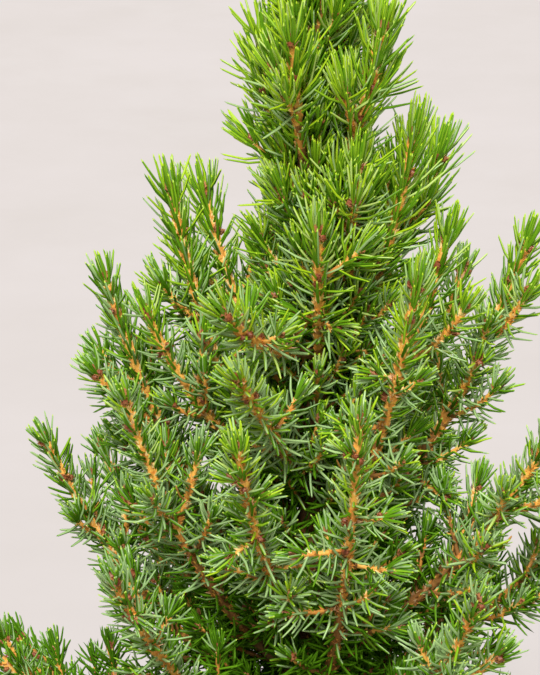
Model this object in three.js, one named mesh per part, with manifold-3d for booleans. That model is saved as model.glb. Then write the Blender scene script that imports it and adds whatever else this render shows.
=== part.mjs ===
// A young dwarf white spruce in a plain clay pot: a slim trunk, upswept boughs that leave it
// all the way round, and sprays of short needles that fill a loose cone from the rim to the tip.
// Millimetres, +Z up. The origin is the middle of the pot's flat underside, and the plant's
// front, as it is usually stood, faces -Y. Bearings are degrees anticlockwise from +X.
import * as THREE from "three";
import { mergeVertices } from "three/addons/utils/BufferGeometryUtils.js";
import Module from "manifold-3d";

const wasm = await Module();
wasm.setup();

// Pot, and the growing mix that fills it
const POT = {
  height: 138,
  rimRadius: 74,
  mouthRadius: 66.5,
  bandHeight: 30, // the thick band under the rim
  bandRadius: 72.5, // outside, at the band's lower edge
  bodyRadius: 68, // outside, just under the band
  footRadius: 49,
  wall: 6.5,
  floor: 9,
  bevel: 2.2,
  sides: 36,
  drains: 3,
  drainRadius: 5,
  drainCircle: 24, // from the pot's middle to a drain hole's middle
  drainSides: 12,
};
const MIX = { belowRim: 13, dome: 3, plateau: 22 };
const SEAT = 0.3; // clearance left between pieces that rest on or meet each other

// Trunk
const MIX_TOP = POT.height - MIX.belowRim + MIX.dome;
const TRUNK = {
  foot: MIX_TOP + SEAT,
  top: 352,
  rootRadius: 9.5,
  baseRadius: 5.2, // above the root flare
  tipRadius: 1.7,
  flareHeight: 13,
  sway: 3, // sideways, at the top
  swayBack: 1.5,
  swayWave: 110,
  swayStart: 275,
  sides: 8,
  rings: 16,
  crowding: 1.6, // how much closer the rings lie at the flare
};

// Boughs: how a limb bends, and how thick it is
const BOUGH = {
  bellyOut: 0.62, // share of the reach at the bend's control point
  bellyUp: 0.25, // share of the rise there
  straightBelly: 0.5, // both shares, where a bough doesn't bend
  thinRoot: 1.25,
  thickPerLength: 0.0105, // extra root radius for each mm of limb
  tipRadius: 0.95,
  sides: 5,
  rings: 5,
  limbShare: 0.42, // of the length that is bare limb, where a limb carries the mass
};

// Masses: a stem and its side shoots, each with a slim core that needles stand out of
const SPRAY = {
  twigRadius: 0.75,
  coreRadius: 5,
  sideCore: 4.2,
  tipShare: 0.62, // of the core's radius, at the shoot's tip
  least: 1, // free radius that a shoot needs
  coreStart: 0.1, // share of a shoot over which its core swells
  coreSides: 4,
  bareShare: 0.28, // of a stem that leaves the trunk itself
  mostBare: 0.5,
  clear: 1.1, // kept between two masses' spaces
  turn: 137.5, // degrees round the stem from one shoot or needle to the next
};
const SIDE = {
  first: 0.35, // share of the stem where side shoots may start
  last: 0.84,
  lengthShare: 0.32, // of the stem's length
  longest: 30,
  tipward: 0.35, // how much shorter they get along the stem
  uneven: 0.3,
  bare: 4,
  spread: 40, // degrees between a side shoot and its stem
  lift: 0.8, // how far it turns back up
  tries: 6, // directions round the stem, where others leave no room
};
const NEEDLE = {
  length: 13,
  rootRadius: 1.9,
  sides: 3,
  spacing: 16,
  atTip: 2, // extra ones
  sunk: 3.5, // how far short of the shoot's tip the last one is rooted
  lean: 62, // degrees from the shoot at its foot
  tipLean: 22,
  bunching: 1.5, // how late along a shoot the needles close up to its tip
  middle: 0.6, // share of a needle's length where its room is tested
};

// name, height of the root on the trunk, bearing, reach from the trunk, rise of the tip above
// the root, side shoots, and its kind: "limb" where a bare limb carries the mass, "straight"
// where it doesn't turn up on its way
const BOUGHS = [
  ["crown_front", 288, 268, 22, 48, 0, ""],
  ["crown_front_right", 306, 305, 15, 46, 1, ""],
  ["crown_right", 283, 350, 25, 74, 1, ""],
  ["crown_back_right", 298, 30, 37, 48, 1, ""],
  ["crown_back", 312, 95, 20, 46, 2, ""],
  ["crown_left", 314, 202, 10.5, 44, 1, ""],
  ["top_front", 344, 252, 16, 41, 1, ""],
  ["top_right", 337, 325, 21, 50, 2, ""],
  ["top_back", 342, 60, 18, 50, 1, ""],
  ["top_left", 334, 164, 13.5, 48, 1, ""],
  ["shoulder_right_front", 232, 314, 37, 92, 0, ""],
  ["shoulder_right", 246, 3, 36, 82, 1, ""],
  ["shoulder_back_right", 258, 62, 38, 70, 2, ""],
  ["shoulder_back", 250, 104, 42, 78, 2, ""],
  ["shoulder_back_left", 270, 136, 42, 62, 1, ""],
  ["shoulder_left", 240, 167, 39, 98, 1, ""],
  ["shoulder_left_low", 254, 190, 45, 56, 1, ""],
  ["shoulder_left_front", 296, 236, 46, 24, 0, ""],
  ["middle_front_left", 254, 249, 54, 53, 0, "straight"],
  ["middle_right", 232, 14, 60, 90, 2, "limb"],
  ["middle_right_back", 224, 44, 60, 82, 2, ""],
  ["middle_back_right", 214, 82, 62, 84, 2, ""],
  ["middle_back_left", 226, 122, 62, 74, 2, ""],
  ["middle_left_back", 202, 152, 62, 94, 2, "limb"],
  ["middle_left", 214, 174, 57, 100, 1, "limb"],
  ["middle_left_front", 196, 208, 57, 97, 1, "limb"],
  ["front_left", 214, 252, 66, 80, 0, "limb"],
  ["front", 186, 279, 63, 115, 0, "limb"],
  ["middle_right_front", 206, 340, 66, 76, 2, ""],
  ["low_right", 190, 2, 82, 66, 2, "limb"],
  ["low_back_right", 182, 62, 82, 70, 2, ""],
  ["low_back", 186, 100, 84, 66, 2, ""],
  ["low_back_left", 178, 140, 82, 68, 2, ""],
  ["low_left", 182, 180, 74, 88, 1, "limb"],
  ["low_front_left", 176, 228, 78, 80, 2, "limb"],
  ["low_front_right", 174, 298, 84, 84, 1, "limb"],
  ["skirt_right", 150, 14, 98, 40, 3, ""],
  ["skirt_right_back", 162, 49, 92, 60, 3, ""],
  ["skirt_back_right", 152, 84, 98, 38, 3, ""],
  ["skirt_back_left", 164, 118, 92, 60, 3, ""],
  ["skirt_left_back", 150, 155, 98, 38, 3, ""],
  ["skirt_left", 162, 194, 94, 58, 3, ""],
  ["skirt_left_front", 152, 222, 97, 42, 3, ""],
  ["skirt_front_left", 160, 259, 94, 58, 3, ""],
  ["skirt_front_right", 150, 295, 97, 40, 3, ""],
  ["skirt_right_front", 162, 336, 94, 58, 3, ""],
];
const LEADER = { length: 71, sides: 5 };
const LINE_STEPS = 8; // straight steps that stand for a stem when spaces are shared out

const COLOURS = {
  clay: new THREE.MeshStandardMaterial({ color: 0xb5623c, roughness: 0.9 }),
  mix: new THREE.MeshStandardMaterial({ color: 0x3a2a20, roughness: 1 }),
  bark: new THREE.MeshStandardMaterial({ color: 0x8a5a3a, roughness: 0.9 }),
  limb: new THREE.MeshStandardMaterial({ color: 0xb0713f, roughness: 0.85 }),
  needles: new THREE.MeshStandardMaterial({ color: 0x4f8a3a, roughness: 0.6 }),
};

const UP = new THREE.Vector3(0, 0, 1);
const SIDEWAYS = new THREE.Vector3(1, 0, 0);
const CONE_AXIS = new THREE.Vector3(0, 1, 0); // of a ConeGeometry as it is made
const STEEP = 0.9; // rise of a direction from which its side is taken from +X, not from +Z
const HASH = { start: 2166136261, step: 16777619, last: 2246822519 };
const { degToRad: radians, lerp } = THREE.MathUtils;

// A direction at right angles to a way, by the rule that all tubes and shoots share.
function sideOf(way, steepness = way.z) {
  const across = Math.abs(steepness) > STEEP ? SIDEWAYS : UP;
  return new THREE.Vector3().crossVectors(way, across).normalize();
}

// A repeatable number from 0 to 1 for a few whole-number keys.
function chance(...keys) {
  let h = HASH.start;
  for (const key of keys) {
    h = Math.imul(h ^ key, HASH.step);
    h ^= h >>> 15;
  }
  h = Math.imul(h, HASH.last);
  h ^= h >>> 13;
  return (h >>> 0) / 2 ** 32;
}

// A closed geometry as a solid that can be joined or cut.
function solid(geometry) {
  const bare = geometry.clone();
  bare.deleteAttribute("normal");
  bare.deleteAttribute("uv");
  const merged = mergeVertices(bare, 1e-4);
  return new wasm.Manifold(
    new wasm.Mesh({
      numProp: 3,
      vertProperties: merged.attributes.position.array,
      triVerts: new Uint32Array(merged.index.array),
    }),
  );
}

// A solid as a named mesh.
function piece(name, body, material) {
  const cut = body.getMesh();
  const geometry = new THREE.BufferGeometry();
  const places = new Float32Array(cut.numVert * 3);
  for (let i = 0; i < cut.numVert; i++) {
    const first = i * cut.numProp;
    places.set(cut.vertProperties.subarray(first, first + 3), i * 3);
  }
  geometry.setAttribute("position", new THREE.BufferAttribute(places, 3));
  geometry.setIndex(new THREE.BufferAttribute(cut.triVerts, 1));
  geometry.computeVertexNormals();
  const mesh = new THREE.Mesh(geometry, material);
  mesh.name = name;
  return mesh;
}

// The one body of a solid that holds most of it, without loose scraps.
function largest(body) {
  return body.decompose().reduce((a, b) => (a.volume() > b.volume() ? a : b));
}

// A closed tapering tube through the points, with one radius for each.
function tube(points, radii, sides, spin = 0) {
  const places = [];
  const faces = [];
  const last = points.length - 1;
  const steepness = points[last].clone().sub(points[0]).normalize().z;
  points.forEach((point, i) => {
    const ahead = points[Math.min(i + 1, last)];
    const behind = points[Math.max(i - 1, 0)];
    const along = ahead.clone().sub(behind).normalize();
    const side = sideOf(along, steepness);
    const over = new THREE.Vector3().crossVectors(along, side);
    for (let k = 0; k < sides; k++) {
      const angle = spin + (2 * Math.PI * k) / sides;
      const place = point
        .clone()
        .addScaledVector(side, radii[i] * Math.cos(angle))
        .addScaledVector(over, radii[i] * Math.sin(angle));
      places.push(...place.toArray());
    }
  });
  for (let i = 0; i < last; i++)
    for (let k = 0; k < sides; k++) {
      const next = (k + 1) % sides;
      const [a, b] = [i * sides + k, i * sides + next];
      const [c, d] = [a + sides, b + sides];
      faces.push(a, b, c, b, d, c);
    }
  for (let k = 1; k < sides - 1; k++) {
    faces.push(0, k + 1, k);
    const end = last * sides;
    faces.push(end, end + k, end + k + 1);
  }
  const geometry = new THREE.BufferGeometry();
  geometry.setAttribute("position", new THREE.Float32BufferAttribute(places, 3));
  geometry.setIndex(faces);
  return solid(geometry);
}

// The trunk's centre at a height: it stands upright and sways a little more towards the tip.
function trunkCentre(z) {
  const share = Math.max(0, (z - TRUNK.foot) / (TRUNK.top - TRUNK.foot));
  const phase = (2 * Math.PI * (z - TRUNK.swayStart)) / TRUNK.swayWave;
  const [x, y] = [TRUNK.sway * Math.sin(phase), TRUNK.swayBack * Math.cos(phase)];
  return new THREE.Vector3(share * share * x, share * share * y, z);
}

function trunkRadius(z) {
  const rise = z - TRUNK.foot;
  const share = rise / (TRUNK.top - TRUNK.foot);
  const plain = lerp(TRUNK.baseRadius, TRUNK.tipRadius, share);
  const flare = TRUNK.rootRadius - TRUNK.baseRadius;
  return plain + flare * Math.exp((-3 * rise) / TRUNK.flareHeight); // 5 % of it is left there
}

// The trunk, or what it and a clearance round it take out of a limb or a mass.
function trunk(extra = 0) {
  const heights = [];
  for (let i = 0; i <= TRUNK.rings; i++) {
    const share = (i / TRUNK.rings) ** TRUNK.crowding;
    heights.push(lerp(TRUNK.foot, TRUNK.top + extra, share));
  }
  const radii = heights.map((z) => trunkRadius(z) + extra);
  return tube(heights.map(trunkCentre), radii, TRUNK.sides);
}

// A half outline, from the axis round to the axis, turned about +Z.
function turned(outline) {
  const points = outline.map(([r, z]) => new THREE.Vector2(r, z));
  return solid(new THREE.LatheGeometry(points, POT.sides).rotateX(Math.PI / 2));
}

const UNDER_BAND = POT.height - POT.bandHeight;

// The pot's inner radius at a height under its band.
function potInside(z) {
  return lerp(POT.footRadius, POT.bodyRadius, z / UNDER_BAND) - POT.wall;
}

function pot() {
  const { height, bevel } = POT;
  let body = turned([
    [0, 0],
    [POT.footRadius - bevel, 0],
    [POT.footRadius, bevel],
    [POT.bodyRadius, UNDER_BAND],
    [POT.bandRadius, UNDER_BAND],
    [POT.rimRadius, height - bevel],
    [POT.rimRadius - bevel, height],
    [POT.mouthRadius + bevel, height],
    [POT.mouthRadius, height - bevel],
    [potInside(UNDER_BAND), UNDER_BAND],
    [potInside(POT.floor), POT.floor],
    [0, POT.floor],
  ]);
  for (let i = 0; i < POT.drains; i++) {
    const angle = (2 * Math.PI * (i + 0.5)) / POT.drains;
    const [x, y] = [POT.drainCircle * Math.cos(angle), POT.drainCircle * Math.sin(angle)];
    const hole = new THREE.CylinderGeometry(
      POT.drainRadius,
      POT.drainRadius,
      3 * POT.floor,
      POT.drainSides,
    );
    body = body.subtract(solid(hole.rotateX(Math.PI / 2).translate(x, y, 0)));
  }
  return body;
}

function mix() {
  const edge = POT.height - MIX.belowRim;
  const bandShare = (edge - UNDER_BAND) / (POT.bandHeight - POT.bevel);
  const mouth = lerp(potInside(UNDER_BAND), POT.mouthRadius, bandShare);
  return turned([
    [0, POT.floor + SEAT],
    [potInside(POT.floor) - SEAT, POT.floor + SEAT],
    [potInside(UNDER_BAND) - SEAT, UNDER_BAND],
    [mouth - SEAT, edge],
    [MIX.plateau, edge + MIX.dome],
    [0, edge + MIX.dome],
  ]);
}

// A bough's centreline, from the trunk's centre out and then up.
function boughCurve([, height, bearing, reach, rise, , kind]) {
  const root = trunkCentre(height);
  const angle = radians(bearing);
  const out = new THREE.Vector3(Math.cos(angle), Math.sin(angle), 0);
  const straight = kind === "straight";
  const belly = root
    .clone()
    .addScaledVector(out, (straight ? BOUGH.straightBelly : BOUGH.bellyOut) * reach)
    .addScaledVector(UP, (straight ? BOUGH.straightBelly : BOUGH.bellyUp) * rise);
  const tip = root.clone().addScaledVector(out, reach).addScaledVector(UP, rise);
  return new THREE.QuadraticBezierCurve3(root, belly, tip);
}

function boughRootRadius(curve) {
  return BOUGH.thinRoot + BOUGH.thickPerLength * curve.getLength();
}

// Evenly spaced points of a curve, from its start to a share of its length.
function stretch(curve, to, count) {
  const points = [];
  for (let i = 0; i <= count; i++) points.push(curve.getPointAt((to * i) / count));
  return points;
}

function limb(curve) {
  const points = stretch(curve, BOUGH.limbShare, BOUGH.rings);
  const thick = boughRootRadius(curve);
  const radii = points.map((_, i) => lerp(thick, BOUGH.tipRadius, i / BOUGH.rings));
  return tube(points, radii, BOUGH.sides);
}

// The direction that leans away from a curve at a share of its length, at an angle round it.
function leaning(curve, at, angle, lean) {
  const along = curve.getTangentAt(at);
  const side = sideOf(along);
  const over = new THREE.Vector3().crossVectors(side, along);
  const away = side.multiplyScalar(Math.cos(angle)).addScaledVector(over, Math.sin(angle));
  return along.multiplyScalar(Math.cos(lean)).addScaledVector(away, Math.sin(lean));
}

// A side shoot of a stem: it leaves at the spread angle and turns back up.
function sideCurve(stem, at, angle, length) {
  const root = stem.getPointAt(at);
  const way = leaning(stem, at, angle, radians(SIDE.spread));
  const belly = root.clone().addScaledVector(way, length / 2);
  const upward = way.clone().addScaledVector(UP, SIDE.lift).normalize();
  const tip = belly.clone().addScaledVector(upward, length / 2);
  return new THREE.QuadraticBezierCurve3(root, belly, tip);
}

// One needle, rooted at the middle of its shoot, with its tip and its middle.
function needleFrom(curve, at, angle, lean) {
  const root = curve.getPointAt(at);
  const way = leaning(curve, at, angle, lean);
  const cone = new THREE.ConeGeometry(NEEDLE.rootRadius, NEEDLE.length, NEEDLE.sides);
  cone.translate(0, NEEDLE.length / 2, 0);
  cone.applyQuaternion(new THREE.Quaternion().setFromUnitVectors(CONE_AXIS, way));
  cone.translate(root.x, root.y, root.z);
  return {
    body: solid(cone),
    tip: root.clone().addScaledVector(way, NEEDLE.length),
    middle: root.clone().addScaledVector(way, NEEDLE.middle * NEEDLE.length),
  };
}

// A shoot: from one share of its curve to the tip, first bare twig, then core and needles, as
// thick as the room round it lets it be.
function shoot(curve, from, rootRadius, coreRadius, bare, room, keys) {
  const length = curve.getLength() * (1 - from);
  const bareShare = Math.min(bare / length, SPRAY.mostBare);
  const full = bareShare + SPRAY.coreStart;
  const along = (share) => lerp(from, 1, share);
  const core = (share, thick) => {
    const free = room(curve.getPointAt(along(share)));
    return THREE.MathUtils.clamp(free, SPRAY.twigRadius, thick);
  };
  const shares = bareShare > SPRAY.coreStart ? [0, bareShare, full, 1] : [0, full, 1];
  const radii = shares.map((share) => {
    if (share === 0) return rootRadius;
    if (share < full) return SPRAY.twigRadius;
    return core(share, share < 1 ? coreRadius : SPRAY.tipShare * coreRadius);
  });
  const spin = 2 * Math.PI * chance(...keys, 1);
  const points = shares.map((share) => curve.getPointAt(along(share)));
  let body = tube(points, radii, SPRAY.coreSides, spin);
  const count = Math.round((length * (1 - full)) / NEEDLE.spacing) + NEEDLE.atTip;
  for (let k = 0; k < count; k++) {
    const share = (k + 0.5) / count;
    const at = along(lerp(full, 1 - NEEDLE.sunk / length, share));
    const lean = radians(lerp(NEEDLE.lean, NEEDLE.tipLean, share ** NEEDLE.bunching));
    const needle = needleFrom(curve, at, radians(k * SPRAY.turn) + spin, lean);
    if (room(needle.tip) > 0 && room(needle.middle) > NEEDLE.rootRadius / 2)
      body = body.add(needle.body);
  }
  return body;
}

// The least distance from a point to a stem's centreline, given as a row of points.
function distance(point, line) {
  const near = new THREE.Vector3();
  let least = Infinity;
  for (let i = 1; i < line.length; i++) {
    new THREE.Line3(line[i - 1], line[i]).closestPointToPoint(point, true, near);
    least = Math.min(least, near.distanceTo(point));
  }
  return least;
}

// The room round a point for the mass on centreline i: the radius that is clear of the trunk
// and stays nearer to the mass's own stem than to any other.
function roomOf(i, lines) {
  return (point) => {
    const height = Math.min(point.z, TRUNK.top);
    const fromTrunk = point.distanceTo(trunkCentre(height)) - trunkRadius(height);
    const own = distance(point, lines[i]);
    const others = lines.map((line, j) => (j === i ? Infinity : distance(point, line)));
    return Math.min(fromTrunk, (Math.min(...others) - own) / 2) - SPRAY.clear / 2;
  };
}

// A mass: its stem's own shoot, and side shoots dealt round it as far as it has room.
function mass(curve, from, rootRadius, bare, sides, room, key) {
  let body = shoot(curve, from, rootRadius, SPRAY.coreRadius, bare, room, [key, 0]);
  const longest = Math.min(SIDE.lengthShare * curve.getLength(), SIDE.longest);
  for (let n = 0; n < sides; n++) {
    const at = lerp(Math.max(from, SIDE.first), SIDE.last, (n + 0.5) / sides);
    const length = longest * (1 - SIDE.tipward * at) * (1 + SIDE.uneven * (chance(key, n, 3) - 0.5));
    for (let t = 0; t < SIDE.tries; t++) {
      const turn = chance(key, 4) + t / SIDE.tries;
      const side = sideCurve(curve, at, radians(n * SPRAY.turn) + 2 * Math.PI * turn, length);
      if (![0.5, 0.75, 1].every((share) => room(side.getPointAt(share)) > SPRAY.least)) continue;
      const keys = [key, n + 1];
      body = body.add(shoot(side, 0, BOUGH.tipRadius, SPRAY.sideCore, SIDE.bare, room, keys));
      break;
    }
  }
  return body;
}

const plant = new THREE.Group();
plant.name = "potted_dwarf_spruce";
plant.add(piece("pot", pot(), COLOURS.clay));
plant.add(piece("growing_mix", mix(), COLOURS.mix));
plant.add(piece("trunk", trunk(), COLOURS.bark));

const clearOfTrunk = trunk(SEAT);
const leaderFoot = trunkCentre(TRUNK.top);
const leaderTip = trunkCentre(TRUNK.top + LEADER.length);
const leaderCurve = new THREE.QuadraticBezierCurve3(
  leaderFoot,
  leaderFoot.clone().lerp(leaderTip, 0.5),
  leaderTip,
);
const curves = [...BOUGHS.map(boughCurve), leaderCurve];
const lines = curves.map((curve) => stretch(curve, 1, LINE_STEPS));

BOUGHS.forEach(([name, , , , , sides, kind], i) => {
  const curve = curves[i];
  const room = roomOf(i, lines);
  let [from, rootRadius, bare] = [0, boughRootRadius(curve), SPRAY.bareShare * curve.getLength()];
  if (kind === "limb") {
    const arm = largest(limb(curve).subtract(clearOfTrunk));
    plant.add(piece(name + "_bough", arm, COLOURS.limb));
    [from, rootRadius, bare] = [BOUGH.limbShare + SEAT / curve.getLength(), BOUGH.tipRadius, 1];
  }
  const spray = mass(curve, from, rootRadius, bare, sides, room, i).subtract(clearOfTrunk);
  plant.add(piece(name + "_spray", largest(spray), COLOURS.needles));
});

const last = BOUGHS.length;
const leader = mass(leaderCurve, 0, TRUNK.tipRadius, 1, LEADER.sides, roomOf(last, lines), last);
plant.add(piece("leader_spray", largest(leader.subtract(clearOfTrunk)), COLOURS.needles));

export default plant;
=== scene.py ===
"""A young dwarf white spruce in a plain clay pot, grown needle by needle for close views.

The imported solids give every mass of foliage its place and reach. This script grows the same
boughs by the same rule, carries them on to finer twigs, and covers those with pegs, buds and
needles. Lengths are millimetres until a mesh is made, and angles are degrees. +Z is up, and
the side that the camera sees faces -Y.
"""

from __future__ import annotations

import itertools
import logging
import math
from collections.abc import Callable
from dataclasses import dataclass, field
from enum import Enum, IntEnum
from typing import ClassVar, NamedTuple

import bpy
import numpy as np
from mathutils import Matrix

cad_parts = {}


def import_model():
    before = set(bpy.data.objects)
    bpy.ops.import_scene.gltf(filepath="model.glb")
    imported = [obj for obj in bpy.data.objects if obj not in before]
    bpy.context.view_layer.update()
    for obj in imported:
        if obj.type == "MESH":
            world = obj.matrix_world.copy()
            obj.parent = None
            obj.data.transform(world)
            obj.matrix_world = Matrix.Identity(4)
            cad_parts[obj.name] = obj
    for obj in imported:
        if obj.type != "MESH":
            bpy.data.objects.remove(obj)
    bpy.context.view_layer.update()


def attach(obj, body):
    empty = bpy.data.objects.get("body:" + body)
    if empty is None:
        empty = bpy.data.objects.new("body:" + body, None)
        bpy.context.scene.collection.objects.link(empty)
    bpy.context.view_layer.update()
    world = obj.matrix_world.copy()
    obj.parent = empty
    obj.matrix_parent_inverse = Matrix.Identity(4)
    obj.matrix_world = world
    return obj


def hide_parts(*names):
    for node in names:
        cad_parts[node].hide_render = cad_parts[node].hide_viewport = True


LOG = logging.getLogger("spruce")
Array = np.ndarray
Span = tuple[float, float]  # the least and the most, or the first and the last
Three = tuple[float, float, float]
MM = 0.001  # metres in a millimetre
TINY = 1e-6  # keeps a division by nothing away
UP = np.array([0.0, 0.0, 1.0])
SIDEWAYS = np.array([1.0, 0.0, 0.0])
STEEP = 0.9  # rise of a direction from which its side is taken from +X, not from +Z
TURN = 137.5  # degrees round a stem from one shoot or needle to the next
WORD = 0xFFFFFFFF
HASH_START, HASH_STEP, HASH_LAST = 2166136261, 16777619, 2246822519
GRAIN_X, GRAIN_Y, GRAIN_Z = 73856093, 19349663, 83492791  # keep the cells of `grain` apart
GRAIN_SEED, GRAIN_LAST = 40503, 1274126177
MIX_A, MIX_B, MIX_COLOUR = 6, 7, 2  # numbers of the Mix node's colour sockets
SKIN = ((150, 240, 300, 350, 420), (115, 84, 32, 10, 3))  # heights, and the crown's reach there
INNER_KEY, SEEN_KEY, WHORL_KEY = 7000, 900, 40  # keep the numbers of the finer twigs apart
BODY = "root"


class Draw(IntEnum):
    """What a row of random numbers decides, as the last part of its seed."""

    WHORLS = 5
    NEEDLES = 7
    NEEDLE_SIZES = 11
    BARK = 13
    BUDS = 17
    TONES = 19
    LITTER = 47
    LUMP = 53
    INNER = 71


class Rank(IntEnum):
    """How far a shoot is from the trunk: a main stem, a side shoot on it, or a finer twig."""

    MAIN = 0
    SIDE = 1
    FINE = 2


def chance(*keys: int) -> float:
    """Gives a repeatable number for a few whole-number keys.

    Args:
        keys: whole numbers that name what is being decided.

    Returns:
        A number from 0 to 1.
    """
    mixed = HASH_START
    for key in keys:
        mixed = ((mixed ^ key) * HASH_STEP) & WORD
        mixed ^= mixed >> 15
    mixed = (mixed * HASH_LAST) & WORD
    mixed ^= mixed >> 13
    return mixed / 2**32


def lerp(low: float | Array, high: float | Array, share: float | Array) -> float | Array:
    """Walks from low to high by a share."""
    return low + (high - low) * share


def unit(ways: Array) -> Array:
    """Scales each vector to a length of one."""
    return ways / np.linalg.norm(ways, axis=-1, keepdims=True)


def side_of(ways: Array) -> Array:
    """Gives a direction at right angles to each way."""
    steep = np.abs(ways[..., 2:3]) > STEEP
    return unit(np.cross(ways, np.where(steep, SIDEWAYS, UP)))


def heading(bearing: float, rise: float) -> Array:
    """Gives the direction of a compass bearing and a rise.

    Args:
        bearing: degrees anticlockwise from +X.
        rise: degrees above the level.

    Returns:
        A direction of length one.
    """
    turn, lift = math.radians(bearing), math.radians(rise)
    level = np.array([math.cos(turn), math.sin(turn), 0.0])
    return level * math.cos(lift) + UP * math.sin(lift)


def grain(points: Array, cell: float, seed: int) -> Array:
    """Smooth random relief, the same for the same point.

    Args:
        points: places in mm, one a row.
        cell: size of one bump in mm.
        seed: picks one of many patterns.

    Returns:
        A number from -1 to 1 for each point.
    """
    spot = points / cell
    low = np.floor(spot).astype(np.int64)
    part = spot - low
    part = part * part * (3 - 2 * part)
    total = np.zeros(len(points))
    for corner in itertools.product((0, 1), repeat=3):
        x, y, z = (low + corner).T
        mixed = (x * GRAIN_X) ^ (y * GRAIN_Y) ^ (z * GRAIN_Z) ^ (seed * GRAIN_SEED)
        mixed = ((mixed ^ (mixed >> 13)) * GRAIN_LAST) & WORD
        value = ((mixed ^ (mixed >> 16)) & 0xFFFF) / 0x7FFF - 1
        total += value * np.prod(np.where(corner, part, 1 - part), axis=1)
    return total


class Bumps(NamedTuple):
    """One layer of relief: how high its bumps are, how wide, and which pattern they follow."""

    height: float  # mm
    size: float  # mm
    seed: int


def rough(points: Array, layers: tuple[Bumps, ...]) -> Array:
    """Adds up layers of relief.

    Args:
        points: places in mm, one a row.
        layers: the layers.

    Returns:
        The height at each point, in mm.
    """
    return sum(layer.height * grain(points, layer.size, layer.seed) for layer in layers)


def rise_between(values: Array, low: float, span: float) -> Array:
    """Gives 0 up to a value and 1 from a span above it, with an even slope between."""
    return np.clip((values - low) / span, 0, 1)


def circle(sides: int) -> Array:
    """Gives the directions of points spaced evenly round +Z, as X and Y."""
    angle = np.arange(sides) * 2 * np.pi / sides
    return np.stack([np.cos(angle), np.sin(angle)], -1)


def ring_quads(rings: int, sides: int) -> Array:
    """Joins rings of points that follow each other.

    Args:
        rings: how many rings there are.
        sides: how many points each has.

    Returns:
        The corners of one face a row.
    """
    ring = np.arange(rings - 1)[:, None] * sides
    k = np.arange(sides)[None]
    after = (k + 1) % sides
    quads = np.stack([ring + k, ring + after, ring + after + sides, ring + k + sides], -1)
    return quads.reshape(-1, 4)


def inwardness(points: Array) -> Array:
    """Tells how far in from the crown's skin points lie.

    Args:
        points: places in mm, one a row.

    Returns:
        0 at the skin and 1 on the axis, for each point.
    """
    return 1 - np.linalg.norm(points[:, :2], axis=1) / np.interp(points[:, 2], *SKIN)


def linear(code: str) -> tuple[float, float, float, float]:
    """Turns an sRGB hex colour into linear light.

    Args:
        code: a colour such as "#b5623c".

    Returns:
        Red, green, blue and alpha from 0 to 1.
    """
    parts = [int(code[i : i + 2], 16) / 255 for i in (1, 3, 5)]
    light = [p / 12.92 if p <= 0.04045 else ((p + 0.055) / 1.055) ** 2.4 for p in parts]
    return (*light, 1.0)


def add_node(tree: bpy.types.NodeTree, kind: str, settings: dict, links: dict) -> bpy.types.Node:
    """Adds a shader node.

    Args:
        tree: the material's node tree.
        kind: the node's type.
        settings: values of its sockets or of its own options, by name.
        links: for a socket's name or number, the output that feeds it.

    Returns:
        The new node.
    """
    node = tree.nodes.new(kind)
    for key, value in settings.items():
        if key in node.inputs:
            node.inputs[key].default_value = value
        else:
            setattr(node, key, value)
    for key, output in links.items():
        tree.links.new(output, node.inputs[key])
    return node


@dataclass(frozen=True)
class Finish:
    """A surface of one plain colour, with a fine grain in its gloss and relief."""

    name: str
    colour: str
    roughness: Span
    grain: float  # mm
    relief: float  # mm
    ior: float = 1.45
    specular: float = 0.5

    def material(self) -> bpy.types.Material:
        """Makes the material, or gives the one that is already made.

        Returns:
            The material of this finish.
        """
        made = bpy.data.materials.get(self.name)
        if made:
            return made
        made = bpy.data.materials.new(self.name)
        made.use_nodes = True
        made.diffuse_color = linear(self.colour)
        tree = made.node_tree
        tree.nodes.clear()
        spot = add_node(tree, "ShaderNodeTexCoord", {}, {}).outputs["Object"]
        noise = add_node(
            tree, "ShaderNodeTexNoise", {"Scale": 1 / (self.grain * MM)}, {"Vector": spot}
        ).outputs["Fac"]
        low, high = self.roughness
        span = {"To Min": low, "To Max": high}
        gloss = add_node(tree, "ShaderNodeMapRange", span, {"Value": noise})
        bump = add_node(tree, "ShaderNodeBump", {"Distance": self.relief * MM}, {"Height": noise})
        settings = {
            "Base Color": linear(self.colour),
            "IOR": self.ior,
            "Specular IOR Level": self.specular,
        }
        links = {"Roughness": gloss.outputs["Result"], "Normal": bump.outputs["Normal"]}
        body = add_node(tree, "ShaderNodeBsdfPrincipled", settings, links)
        self.dress(tree, body, spot)
        add_node(tree, "ShaderNodeOutputMaterial", {}, {"Surface": body.outputs["BSDF"]})
        return made

    def dress(
        self, tree: bpy.types.NodeTree, body: bpy.types.Node, spot: bpy.types.NodeSocket
    ) -> None:
        """Adds nothing here: a plain finish has one colour."""


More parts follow.
